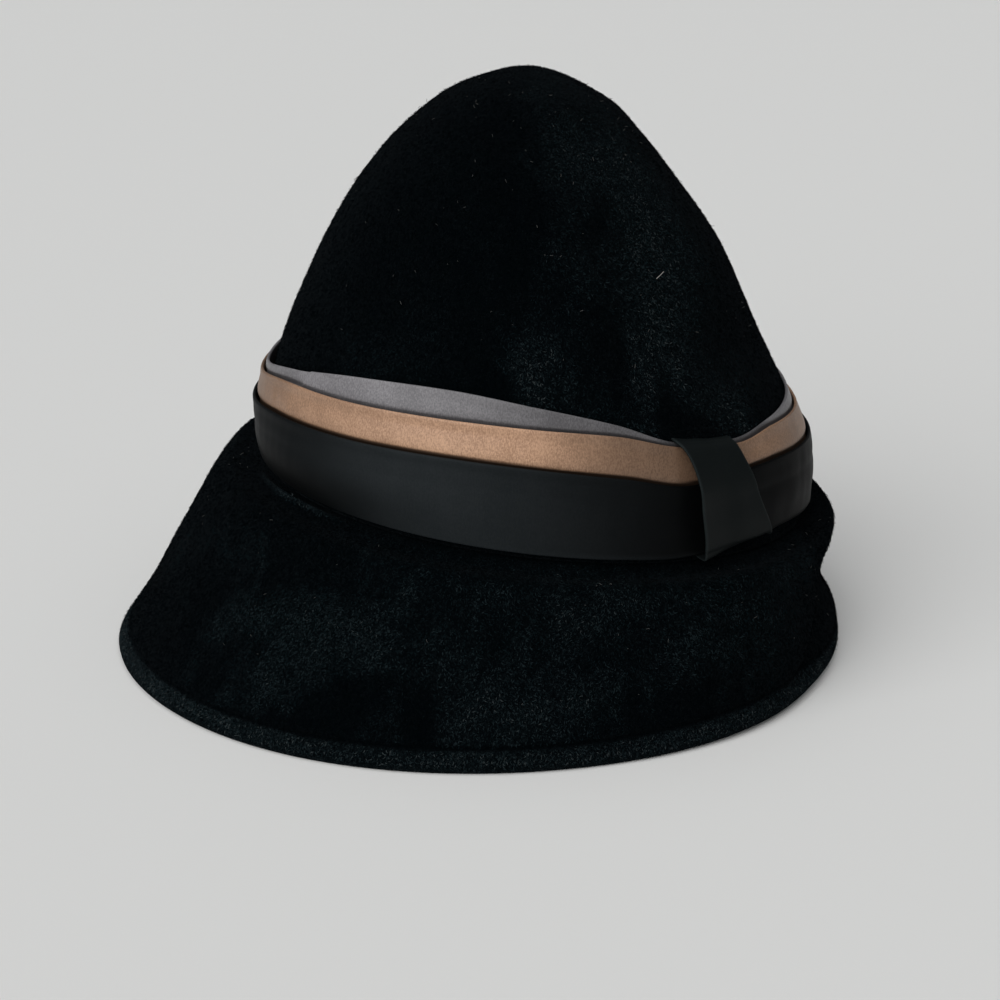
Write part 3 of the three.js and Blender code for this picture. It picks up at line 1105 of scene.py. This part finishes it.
        roll = np.stack([rolled(a) for a in (150, 120, 90, 60, 30)])
        collar_out, collar_in = HAT.felt + HAT.clearance, 2 * HAT.felt + HAT.clearance
        foot = -HAT.clearance
        collar = [
            HAT.in_hat(HAT.head(np.full(turn.shape, height), turn, -depth))
            for height, depth in (
                (foot, collar_out),
                (HAT.collar_height - 0.6 * MM, collar_out),
                (HAT.collar_height, (collar_out + collar_in) / 2),
                (HAT.collar_height - 0.6 * MM, collar_in),
                (foot - HAT.felt, collar_in),
            )
        ]
        inside_ups = np.linspace(0.93, 0.24, 22)
        inside = Grid(np.stack([HAT.brim(np.full(turn.shape, up), turn) for up in inside_ups]))
        inside_skin = inside.points + inside.normals() * HAT.felt
        turned = []
        depths = (HAT.felt, HAT.felt + 0.2 * MM, self.hem_wall - 0.5 * MM, *(self.hem_wall,) * 3)
        for past, depth in zip((0.6, 0.2, 0.0, -0.6, -2.6, -4.6), depths):
            up = (self.hem_width + self.hem_turned + past * MM) / slant
            turned.append(HAT.brim(up, turn) - normals[0] * depth)
        rows = [roll, skin.points, np.stack(collar), inside_skin, np.stack(turned)]
        points = np.concatenate(rows)
        lift = HAT.rim(turn)[..., 2] - HAT.rim_ease
        points[..., 2] = np.maximum(points[..., 2], lift)
        whole = Grid(points, closed_rows=True, outer_row=len(roll))
        brushed = self.brim_nap_and_sheen.at(turns, ups, skin.points)
        hem = 1 - ease(along, self.hem_width - 1.4 * MM, self.hem_width - 0.2 * MM)
        # Painted highlight on the hem's turned edge, brightest at the front, towards the wearer's left.
        painted_edge_light = self.hem_painted_light * (0.8 + 0.4 * self.relief(skin.points, 160.0))
        painted_edge_light = painted_edge_light * (1 + 0.5 * hump(turn_between(turns, 25), 70))
        # The crease under the bands in front takes a painted highlight along its ridge.
        painted_edge_light = np.maximum(painted_edge_light * hem, 1.5 * self.creased(ups, turns))
        brushed = np.maximum(brushed, painted_edge_light)
        # Painted shade in the groove along the hem's stitches.
        return skin, whole, brushed * (1 - 0.9 * hump(along - self.hem_width, 1.5 * MM))

    def sunk(self, up: Array, along: Array, turn: Array) -> Array:
        """Give how far the brim's skin lies below its plain shape.

        Args:
            up: shares of the way up from the rim.
            along: distances up from the rim.
            turn: turns.

        Returns:
            Depths: the groove along the hem's stitches, the valley under the bands with the crease
            that shows in front, and the hollow behind the fold at the back left.
        """
        puckers = 0.8 + 0.2 * self.relief(vector(turn / 3.0, along / MM / 9.0, 0 * turn), 1.0)
        groove = self.groove * puckers * hump(along - self.hem_width, self.groove_width * 0.6)
        valley = self.valley * ease(up, 0.875, 0.945)
        crease = self.crease * self.creased(up, turn)
        behind = turn_between(turn, 0) - self.fold.at("turn", up)
        hollow = self.fold_depth * ease(behind, -0.6, 2.4) * (1 - ease(behind, 3.5, 14))
        hollow = hollow * (1 - ease(up, 0.6, 0.78))
        return groove + valley - crease + hollow * ease(along, 0, 8 * MM)

    def creased(self, up: Array, turn: Array) -> Array:
        """Give the crease under the bands in front, from 0 to 1; takes the arguments of sunk."""
        line = 0.972 + 0.016 * ease(turn, 20, 50)
        return hump(up - line, 0.016) * hump(turn_between(turn, 32), 20) ** 0.6

    def lint(self, crown: Grid, brim: Grid) -> bpy.types.Object:
        """Scatter lint on the felt: one long pale fibre, one at the front, and specks.

        Args:
            crown: the crown's skin.
            brim: the brim's skin.

        Returns:
            The piece.
        """
        rng = np.random.default_rng(41)
        strands = [((126.7, 130.2), (89.8, 91.8)), ((-2.0, -2.6), (102.2, 103.4))]
        ends = [
            HAT.in_hat(HAT.head(np.array(heights) * MM, np.array(turns, float), np.full(2, 0.9 * MM)))
            for turns, heights in strands
        ]
        for grid, count in ((crown, self.crown_lint), (brim, self.brim_lint)):
            rows, columns = grid.points.shape[:2]
            r = rng.integers(rows // 3, rows - 12, count)
            c = rng.integers(0, columns, count)
            at = grid.points[r, c] + grid.normals()[r, c] * rng.uniform(0.4, 0.9, (count, 1)) * MM
            way = unit(rng.normal(size=(count, 3))) * rng.uniform(0.35, 0.85, (count, 1)) ** 2 * MM
            ends.extend(np.stack([at - way, at + way], 1))
        ends = np.stack(ends)
        is_strand = np.arange(len(ends)) < len(strands)
        share = np.array((0, 0.5, 1))[None, :, None]
        line = ends[:, :1] * (1 - share) + ends[:, 1:] * share
        line[:, 1:2] += unit(rng.normal(size=(len(ends), 3)))[:, None] * 0.12 * MM
        along = unit(ends[:, 1] - ends[:, 0])
        side = unit(np.cross(along, rng.normal(size=along.shape)))
        other_side = np.cross(along, side)
        angle = np.radians((90, 210, 330))[None, None, :, None]
        ring = np.cos(angle) * side[:, None, None] + np.sin(angle) * other_side[:, None, None]
        thick = 0.075 * MM * np.where(is_strand, 1.5, 1.0)[:, None, None, None]
        tube = line[:, :, None] + ring * thick
        faces = tube_faces(len(ends), 3, 3)
        picks = np.repeat(np.where(is_strand, 0, 1), len(faces) // len(ends))
        materials = [finish.material() for finish in self.lints]
        return add_mesh("lint", tube.reshape(-1, 3), faces, materials, None, picks)

    def stitches(self) -> bpy.types.Object:
        """Sew the hem: short stitches of thread along the turned edge inside.

        Returns:
            The piece.
        """
        turn = np.linspace(0, 360, self.stitch_count, endpoint=False)
        half_turn = 360 / self.stitch_count * 0.32
        ends = []
        for shift in (-half_turn, half_turn):
            at = turn + shift
            up = (self.hem_width - self.stitch_inset) / HAT.slant(at)
            skin = HAT.brim(np.stack([up - 0.004, up, up + 0.004]), at)
            out = Grid(skin).normals()[1]
            ends.append(skin[1] - out * (self.hem_wall + 0.05 * MM))
        rings, sides = 5, 6
        share = np.linspace(0, 1, rings)[:, None, None]
        line = ends[0] * (1 - share) + ends[1] * share
        along = unit(ends[1] - ends[0])
        inward = unit(-out - along * np.sum(-out * along, -1, keepdims=True))
        across = np.cross(along, inward)
        angle = np.linspace(0, 2 * np.pi, sides, endpoint=False)[:, None, None, None]
        thick = 0.24 * MM * np.sqrt(np.maximum(1 - (2 * share - 1) ** 4, 0.04))
        tube = line + thick * (np.cos(angle) * inward + np.sin(angle) * across)
        tube = np.transpose(tube, (2, 1, 0, 3))
        faces = tube_faces(self.stitch_count, rings, sides)
        return add_mesh("hem_stitches", tube.reshape(-1, 3), faces, [self.thread.material()])


# Satin


@dataclass(frozen=True)
class BandSizes:
    """One folded band: its wall, how far it puffs, flares and wrinkles, and its flat size."""

    node: CadNode
    slot: Slot
    wall: float
    puff: float
    flare: float
    wrinkle: float
    flat: tuple[float, float]


@dataclass
class Trim:
    """The three folded bands round the crown and the keeper over them.

    Tops holds, in shares of the named sizes, how far each band's upper edge rises over the one
    before it, how far the black band's lower edge is raised and how slack the bands hang. Belly
    holds, in shares of a band's puff and flare, how far it stands out. The lustre table holds, by
    turn, the painted light and shade on each band's satin.
    """

    black_height: float = 32 * MM
    tan_reveal: float = 12.5 * MM
    grey_reveal: float = 8 * MM
    tan_tuck: float = 9 * MM
    grey_tuck: float = 8 * MM
    band_foot: float = 1.7 * MM
    slack: float = 1.7 * MM
    columns: int = 640
    outer_rows: int = 30
    inner_rows: int = 8
    # The keeper's satin is a darker, shaded copy of the black satin: painted shade over the keeper.
    keeper_satin: Satin = Satin(
        "satin_keeper", (0.0120, 0.0160, 0.0165), (0.0096, 0.0130, 0.0134), 0.5, 0.05, 0.0
    )
    tops: Table = Table(
        "turn black tan grey foot slack",
        (
            (0, 0.71, 0.80, 0.38, 0.00, 1.0),
            (28, 0.83, 0.95, 0.55, 0.00, 0.4),
            (48, 0.90, 0.95, 0.98, 0.00, 0.0),
            (72, 0.98, 0.95, 1.08, 0.00, 0.0),
            (90, 0.99, 0.98, 0.80, 0.00, 0.0),
            (106, 0.95, 1.04, 0.40, 0.00, 0.0),
            (118, 0.87, 0.98, 0.12, 0.00, 0.0),
            (135, 0.97, 0.64, 0.12, 0.07, 0.0),
            (148, 1.00, 0.76, 0.16, 0.14, 0.0),
            (180, 0.96, 0.80, 0.70, 0.04, 0.0),
            (230, 0.99, 0.95, 1.00, 0.00, 0.0),
            (305, 0.90, 0.95, 0.80, 0.00, 0.2),
        ),
        True,
    )
    belly: Table = Table(
        "turn middle foot flare",
        (
            (0, 0.3, 0.0, 0.4),
            (18, 1.3, -0.1, 0.6),
            (38, 3.0, -0.3, 1.0),
            (60, 1.6, 0.0, 1.0),
            (80, 0.7, 0.0, 1.0),
            (95, 0.4, 0.3, 0.9),
            (112, -0.1, 0.6, 0.6),
            (121, -0.5, 0.7, 0.3),
            (130, 0.1, 0.3, 0.2),
            (145, 0.5, 0.5, 0.5),
            (165, 0.2, 0.9, 0.2),
            (190, 0.4, 0.5, 0.3),
            (270, 0.9, 0.1, 0.9),
        ),
        True,
    )
    # Painted light and shade along each band, by turn: lightest where the key light falls full, darkest
    # beside and past the keeper.
    painted_light: Table = Table(
        "turn black tan grey",
        (
            (0, 0.42, 0.30, 0.62),
            (20, 0.26, 0.42, 0.72),
            (40, 0.40, 0.68, 0.88),
            (62, 1.00, 0.92, 0.82),
            (85, 0.76, 1.00, 0.58),
            (104, 0.28, 0.42, 0.46),
            (118, 0.05, 0.26, 0.42),
            (128, 0.05, 0.26, 0.42),
            (140, 0.05, 0.50, 0.72),
            (165, 0.05, 0.46, 0.66),
            (200, 0.50, 0.72, 0.82),
            (280, 0.85, 1.00, 1.00),
            (330, 0.50, 0.72, 0.86),
        ),
        True,
    )
    pinch_turn: float = 120.5
    keeper_lift: float = 1.9 * MM
    keeper_turns: tuple[float, float] = (119.0, 140.0)
    lower_shade_turn: float = 35.0
    gather_turn: float = 26.0
    lit_turn: float = 92.0
    seam_turn: float = 31.0
    seam_slant: float = 460.0
    seam_foot: float = 36.6 * MM
    seam_step: float = 0.75 * MM
    bands: tuple[BandSizes, ...] = (
        BandSizes(CadNode.BLACK, Slot.BLACK, 1.2 * MM, 1.0 * MM, 1.3 * MM, 0.22 * MM, (0.036, 0.585)),
        BandSizes(CadNode.TAN, Slot.TAN, 1.1 * MM, 0.45 * MM, 1.1 * MM, 0.24 * MM, (0.025, 0.580)),
        BandSizes(CadNode.GREY, Slot.GREY, 1.1 * MM, 0.30 * MM, 0.5 * MM, 0.16 * MM, (0.017, 0.575)),
    )
    finishes: dict[Slot, Satin] = field(
        default_factory=lambda: {
            Slot.BLACK: Satin(
                "satin_black", (0.0166, 0.0196, 0.0213), (0.0122, 0.0151, 0.0166), 0.52, 0.035, 0.0
            ),
            Slot.TAN: Satin(
                "satin_tan", (0.530, 0.320, 0.200), (0.310, 0.178, 0.108), 0.44, 0.35, 0.05
            ),
            Slot.GREY: Satin(
                "satin_grey", (0.250, 0.240, 0.252), (0.140, 0.134, 0.142), 0.42, 0.35, 0.05
            ),
        }
    )

    def top(self, layer: int, turn: Array) -> Array:
        """Give the height of a band's upper edge.

        Args:
            layer: 0 the black band, 1 the tan one, 2 the grey one.
            turn: turns.

        Returns:
            The heights above the head line.
        """
        rises = ((self.black_height, "black"), (self.tan_reveal, "tan"), (self.grey_reveal, "grey"))
        return sum(size * self.tops.at(name, turn) for size, name in rises[: layer + 1])

    def foot(self, layer: int, turn: Array) -> Array:
        """Give the height of a band's lower edge.

        Args:
            layer: which band.
            turn: turns.

        Returns:
            The heights above the head line; the black band's rises a little under the keeper.
        """
        if layer:
            return self.top(layer - 1, turn) - (self.tan_tuck, self.grey_tuck)[layer - 1]
        start, end = self.keeper_turns
        held = ease(turn_between(turn, start), 0, 20) * (1 - ease(turn_between(turn, end), 0, 2.5))
        rise = self.black_height * self.tops.at("foot", turn)
        return self.band_foot + rise + self.keeper_lift * held

    def stand_off(self, layer: int, height: Array, turn: Array) -> Array:
        """Give how far a band's inside stands off the crown, over the bands beneath it.

        Args:
            layer: which band.
            height: heights above the head line.
            turn: turns.

        Returns:
            The distances.
        """
        drop = 0.35 + 0.65 * np.clip(height / self.top(0, turn), 0, 1)
        off = HAT.clearance + self.slack * self.tops.at("slack", turn) * drop
        for beneath in range(layer + 1, len(self.bands)):
            start = self.foot(beneath - 1, turn)
            full = self.foot(beneath, turn) - HAT.clearance
            climb = np.clip((height - start) / (full - start), 0, 1)
            off = off + climb * (2 - climb) * (self.bands[beneath].wall + HAT.clearance)
        return off

    def build(self) -> list[bpy.types.Object]:
        """Build the bands and the keeper.

        Returns:
            The pieces.
        """
        materials = {slot: satin.material() for slot, satin in self.finishes.items()}
        pieces = []
        for layer, band in enumerate(self.bands):
            grid, light = self.band_grid(layer)
            piece = add_grid(f"satin_{band.node.value}", grid, materials[band.slot], {"painted_light": light})
            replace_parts(piece, band.node.value)
            pieces.append(piece)
        loop = Keeper(self)
        grid = loop.grid()
        marks = {"painted_light": loop.light(grid)}
        keeper = add_grid("satin_keeper", grid, self.keeper_satin.material(), marks)
        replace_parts(keeper, CadNode.KEEPER.value)
        return [*pieces, keeper]

    def puff(self, layer: int, turn: Array) -> Array:
        """Give how far a band's middle puffs out.

        Args:
            layer: which band.
            turn: turns.

        Returns:
            The distances.
        """
        if layer == 0:
            return self.bands[0].puff * self.belly.at("middle", turn)
        return self.bands[layer].puff * np.ones(np.shape(turn))

    def band_grid(self, layer: int) -> tuple[Grid, Array]:
        """Shape one folded band as a closed strip.

        Args:
            layer: which band.

        Returns:
            Its surface, and the painted light and shade on the satin at each point.
        """
        band, wave = self.bands[layer], Noise(20 + layer)
        turn = np.linspace(0, 360, self.columns, endpoint=False)
        foot, top = self.foot(layer, turn), self.top(layer, turn)
        fold, last = 0.5 * band.wall + 0.12 * MM, self.outer_rows - 1
        shares = np.append(np.linspace(0, 1, last + 1), np.linspace(1, 0, self.inner_rows))[:, None]
        heights = foot + fold + (top - foot - 2 * fold) * shares
        turns = np.broadcast_to(turn, heights.shape)
        place = HAT.head(heights, turns, np.zeros(heights.shape))
        share = (heights - foot) / (top - foot)
        arch = np.sin(np.pi * np.clip(share, 0, 1))
        cover = self.top(layer - 1, turn) if layer else foot
        shown = ease(heights, cover - 1 * MM, cover + 2 * MM)
        flare = band.flare * ease(heights, top - 4 * MM, top) * (0.85 + 0.3 * wave(place, 22.0))
        flare = flare * self.belly.at("flare", turns)
        puff = self.puff(layer, turns) * arch**0.9 * (0.9 + 0.25 * wave(place, 16.0))
        if layer == 0:
            puff = puff + band.puff * self.belly.at("foot", turns) * hump(share, 0.3)
        gathered = 1 + 1.5 * hump(turn_between(turns, self.gather_turn), 24) * (layer == 1)
        creases = wave(place + 5, (90.0, 90.0, 45.0)) + 0.6 * wave(place + 9, (240.0, 240.0, 70.0))
        pinched = 0.45 * band.wall * hump(turn_between(turns, self.pinch_turn), 5)
        thick = band.wall + (puff + band.wrinkle * gathered * creases * arch**0.5 - pinched) * shown
        if layer:
            thick = thick - 0.5 * band.wall * (1 - ease(heights, cover - 2 * MM, cover + 0.8 * MM))
        if layer == 2:
            seam = self.seam_turn + self.seam_slant * (heights - self.seam_foot)
            past = turn_between(turns, seam)
            thick = thick - self.seam_step * (1 - ease(past, -0.4, 0.4)) * ease(past, -18, -4)
        outside = np.arange(len(shares))[:, None] <= last
        off = self.stand_off(layer, heights, turns) + flare + np.where(outside, thick, 0.0)
        faces = HAT.head(heights, turns, off)
        upper = rounded(faces[last], faces[last + 1], np.array((0, 0, 1)))
        lower = rounded(faces[0], faces[-1], np.array((0, 0, -1)))[::-1]
        points = np.concatenate([faces[: last + 1], upper, faces[last + 1 :], lower])
        light = np.where(outside, self.light(layer, heights, turns), 0.5)
        over, under = (np.tile(light[row], (len(ROUNDING), 1)) for row in (last, 0))
        marks = np.concatenate([light[: last + 1], over, light[last + 1 :], under])
        return Grid(HAT.in_hat(points), closed_rows=True), marks

    def light(self, layer: int, heights: Array, turns: Array) -> Array:
        """Give the painted light and shade on the outside of a band's satin.

        Args:
            layer: which band.
            heights: heights above the head line.
            turns: turns.

        Returns:
            Numbers from 0 to 1: painted shade under the next band's edge and over the lower part of
            the black band in front, and a painted highlight along the black band's lit foot.
        """
        light = self.painted_light.at(("black", "tan", "grey")[layer], turns)
        if layer:
            # Painted shade along the edge of the band that lies over it.
            cover, least = self.top(layer - 1, turns), 0.45 if layer == 2 else 0.0
            return light * (least + (1 - least) * ease(heights, cover + 0.3 * MM, cover + 0.8 * MM))
        foot = self.foot(layer, turns)
        share = (heights - foot) / (self.top(layer, turns) - foot)
        # Painted shade over the black band's lower part in front.
        painted_lower_shade = (1 - ease(share, 0.20, 0.72)) * hump(turn_between(turns, self.lower_shade_turn), 46)
        light = light * (1 - 0.85 * painted_lower_shade)
        # Painted highlight along the black band's lit foot.
        painted_foot_highlight = hump(share - 0.03, 0.05) * hump(turn_between(turns, self.lit_turn), 48)
        return light + 0.5 * painted_foot_highlight * (1 - light)


@dataclass
class Keeper:
    """The loop of satin over the bands, wider at its foot, with one edge that stands proud.

    Edges holds the turns of its two sides at heights in millimetres.
    """

    trim: Trim
    wall: float = 1.2 * MM
    stand: float = 3.8 * MM
    lift: float = 0.4 * MM
    slack: float = 0.5 * MM
    proud_across: float = 0.6
    top_turn: float = 126.0
    foot_turn: float = 131.0
    columns: int = 44
    stations: int = 90
    flat: tuple[float, float] = (0.030, 0.060)
    edges: Table = Table(
        "height left right",
        (
            (-4, 122.4, 144.2),
            (0, 122.0, 143.2),
            (8, 121.2, 140.6),
            (16, 120.3, 137.3),
            (22, 119.9, 135.6),
            (30, 120.0, 134.2),
            (35.3, 119.9, 133.4),
            (39.4, 119.2, 132.9),
            (41.4, 118.0, 132.7),
            (43.5, 116.3, 132.5),
            (48, 115.4, 132.2),
        ),
    )

    def turn(self, across: float, height: Array) -> Array:
        """Give the turn of a place on the keeper, across from its proud edge, at a height."""
        left, right = (self.edges.at(side, np.clip(height / MM, -4, 48)) for side in ("left", "right"))
        return left + (right - left) * across

    def down(self, height: Array) -> Array:
        """Give how far down the keeper a height lies, from 0 to 1."""
        high, low = self.trim.top(2, np.array(self.top_turn)), self.trim.foot(0, np.array(self.foot_turn))
        return np.clip((high - height) / (high - low), 0, 1)

    def edge(self, across: float, edge: Callable[[Array], Array]) -> float:
        """Find the height of a band's edge under the keeper.

        Args:
            across: the place across the keeper.
            edge: the band's edge, as heights over turns.

        Returns:
            The height.
        """
        height = 20 * MM
        for _ in range(6):
            height = float(edge(self.turn(across, np.array(height))))
        return height

    def path(self, across: float) -> Array:
        """Give the keeper's inner face at one column.

        Args:
            across: from 0 at the proud edge to 1.

        Returns:
            Heights and distances off the crown, from its top tuck to its foot tuck.
        """
        trim, slack = self.trim, self.slack
        proud = self.stand * max(1 - across / self.proud_across, 0) ** 2
        proud += self.lift * max(across * 5 - 4, 0) ** 2

        def over(layer: int, height: float) -> tuple[float, float]:
            """Lie over a band.

            Args:
                layer: which band.
                height: the height.

            Returns:
                The height and the distance off the crown.
            """
            at = np.array(height)
            turn = self.turn(across, at)
            stand = 0.4 + 0.6 * min(float(self.down(at)) / 0.25, 1)
            lift = trim.bands[layer].wall + max(float(trim.puff(layer, turn)), 0.2 * MM) + slack
            return height, float(trim.stand_off(layer, at, turn)) + lift + proud * stand

        tops = [self.edge(across, lambda turn, n=n: trim.top(n, turn)) for n in range(3)]
        feet = [self.edge(across, lambda turn, n=n: trim.foot(n, turn)) for n in range(2)]
        first, last = over(2, tops[2]), over(0, feet[0])
        corners = [
            (tops[2] - 0.3 * MM, HAT.clearance),
            (tops[2] - 0.1 * MM, first[1] - 1.2 * slack),
            (tops[2] - 1.5 * slack, first[1] + 0.2 * MM),
            over(1, tops[1]),
            over(0, tops[0]),
            over(0, (tops[0] + feet[1]) / 2),
            over(0, feet[1]),
            over(0, (feet[0] + feet[1]) / 2),
            (feet[0] + 2 * slack, last[1]),
            (feet[0] - 0.1 * MM, last[1] - slack),
            (feet[0] - 0.2 * MM, HAT.clearance),
        ]
        line = np.array(corners)
        for _ in range(3):
            cut = np.stack([line[:-1] * 0.75 + line[1:] * 0.25, line[:-1] * 0.25 + line[1:] * 0.75], 1)
            line = np.concatenate([line[:1], cut.reshape(-1, 2), line[-1:]])
        run = np.append(0, np.cumsum(np.linalg.norm(np.diff(line, axis=0), axis=1)))
        even = np.linspace(0, run[-1], self.stations)
        return np.stack([np.interp(even, run, line[:, 0]), np.interp(even, run, line[:, 1])], -1)

    def grid(self) -> Grid:
        """Shape the keeper as a closed sheet with rolled edges.

        Returns:
            Its surface, whose columns go round its cross section.
        """
        shares = (1 - np.cos(np.linspace(0, np.pi, self.columns))) / 2
        shares = 0.5 * shares + 0.5 * np.linspace(0, 1, self.columns)
        wave = Noise(31)
        inner, outer = [], []
        for across in shares:
            path = self.path(across)
            run = unit(np.gradient(path, axis=0))
            turns, downs = self.turn(across, path[:, 0]), self.down(path[:, 0])
            crease = 0.3 * MM * wave(
                vector((across * 30 + downs * 22) * MM, (across * 30 - downs * 8) * MM, 0 * downs), 90.0
            )
            thick = self.wall * (1 - 0.45 * ease(downs, 0.94, 1)) + crease * np.sin(np.pi * across)
            lifted = path + np.stack([run[:, 1], -run[:, 0]], -1) * thick[:, None]
            inner.append(HAT.head(path[:, 0], turns, path[:, 1]))
            outer.append(HAT.head(lifted[:, 0], turns, lifted[:, 1]))
        inner, outer = np.stack(inner, 1), np.stack(outer, 1)

        def edge(column: int, beside: int) -> Array:
            """Round one long edge, out of the column beside it."""
            outwards = unit(outer[:, column] - outer[:, beside])
            return np.moveaxis(rounded(outer[:, column], inner[:, column], outwards), 0, 1)

        right, left = edge(-1, -2), edge(0, 1)[:, ::-1]
        points = np.concatenate([outer, right, inner[:, ::-1], left], axis=1)
        return Grid(HAT.in_hat(points)[::-1])

    def light(self, grid: Grid) -> Array:
        """Give the painted light on the satin: painted highlights along its rolled edges, painted shade
        over its face.

        Args:
            grid: the keeper's surface.

        Returns:
            Numbers from 0 to 1.
        """
        column = np.arange(grid.points.shape[1])
        # Painted highlights on the rolled edges, painted shade over the face.
        left = np.maximum(hump(column, 2.2), hump(column - grid.points.shape[1], 5.5))
        right = 0.6 * hump(column - self.columns, 3.5)
        row = np.linspace(0, 1, grid.points.shape[0])[:, None]
        face = 0.36 + 0.10 * row
        return face + (1 - face) * np.maximum(left, right)


# Studio


@dataclass
class Studio:
    """A pale floor, soft lights and the camera.

    A sun's row holds its turn, its height and its width in degrees, and its strength.
    """

    floor_half: float = 30.0
    floor_drop: float = 0.1 * MM
    floor: Plain = Plain("floor", (0.745, 0.745, 0.735), 0.8, 0.2)
    camera_place: tuple[float, float, float] = (0.60496, 0.0087, 0.28392)
    camera_target: tuple[float, float, float] = (0.0, 0.0087, 0.0517)
    focal: float = 61.2
    sensor: float = 36.0
    sky: Colour = (0.96, 0.985, 1.0)
    sky_strength: float = 0.16
    key: tuple[float, ...] = (52, 32, 64, 2.05)
    top: tuple[float, ...] = (80, 76, 90, 1.15)

    def build(self) -> None:
        """Set out the floor, the lights and the camera."""
        h = self.floor_half
        z = -self.floor_drop
        corners = np.array([(-h, -h, z), (h, -h, z), (h, h, z), (-h, h, z)], float)
        floor = add_mesh("floor", corners, np.array([[0, 1, 2, 3]]), [self.floor.material()])
        self.world()
        self.sun("key", *self.key)
        self.sun("top", *self.top)
        self.camera()

    def world(self) -> None:
        """Light the scene evenly from all round."""
        world = bpy.data.worlds.new("studio")
        world.use_nodes = True
        background = world.node_tree.nodes["Background"]
        background.inputs["Color"].default_value = (*self.sky, 1.0)
        background.inputs["Strength"].default_value = self.sky_strength
        bpy.context.scene.world = world
        bpy.context.scene.view_settings.view_transform = "Standard"

    def sun(self, name: str, turn: float, height: float, size: float, strength: float) -> None:
        """Shine a wide soft light from far off.

        Args:
            name: its name.
            turn: the turn it comes from.
            height: how high it stands, in degrees.
            size: how wide it looks, in degrees.
            strength: its strength in watts a square metre.
        """
        data = bpy.data.lights.new(name, "SUN")
        data.angle, data.energy = math.radians(size), strength
        light = bpy.data.objects.new(name, data)
        bpy.context.scene.collection.objects.link(light)
        t, h = math.radians(turn), math.radians(height)
        self.aim(light, (math.sin(t) * math.cos(h), -math.cos(t) * math.cos(h), math.sin(h)), (0, 0, 0))

    def aim(self, obj: bpy.types.Object, place: Sequence[float], target: Sequence[float]) -> None:
        """Put an object at a place, facing a target.

        Args:
            obj: the object.
            place: where it stands.
            target: what it faces.
        """
        obj.location = place
        way = Vector(target) - Vector(place)
        obj.rotation_euler = way.to_track_quat("-Z", "Y").to_euler()

    def camera(self) -> None:
        """Set the camera at the photograph's angle."""
        data = bpy.data.cameras.new("camera")
        data.lens, data.sensor_width = self.focal, self.sensor
        camera = bpy.data.objects.new("camera", data)
        bpy.context.scene.collection.objects.link(camera)
        self.aim(camera, self.camera_place, self.camera_target)
        bpy.context.scene.camera = camera


def main() -> None:
    """Build the hat and its studio."""
    logging.basicConfig(level=logging.INFO, format="%(message)s")
    for piece in (*FeltBody().build(), *Trim().build()):
        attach(piece, "root")
        LOG.info("%s: %d faces", piece.name, len(piece.data.polygons))
    Studio().build()


if __name__ == "__main__":
    main()
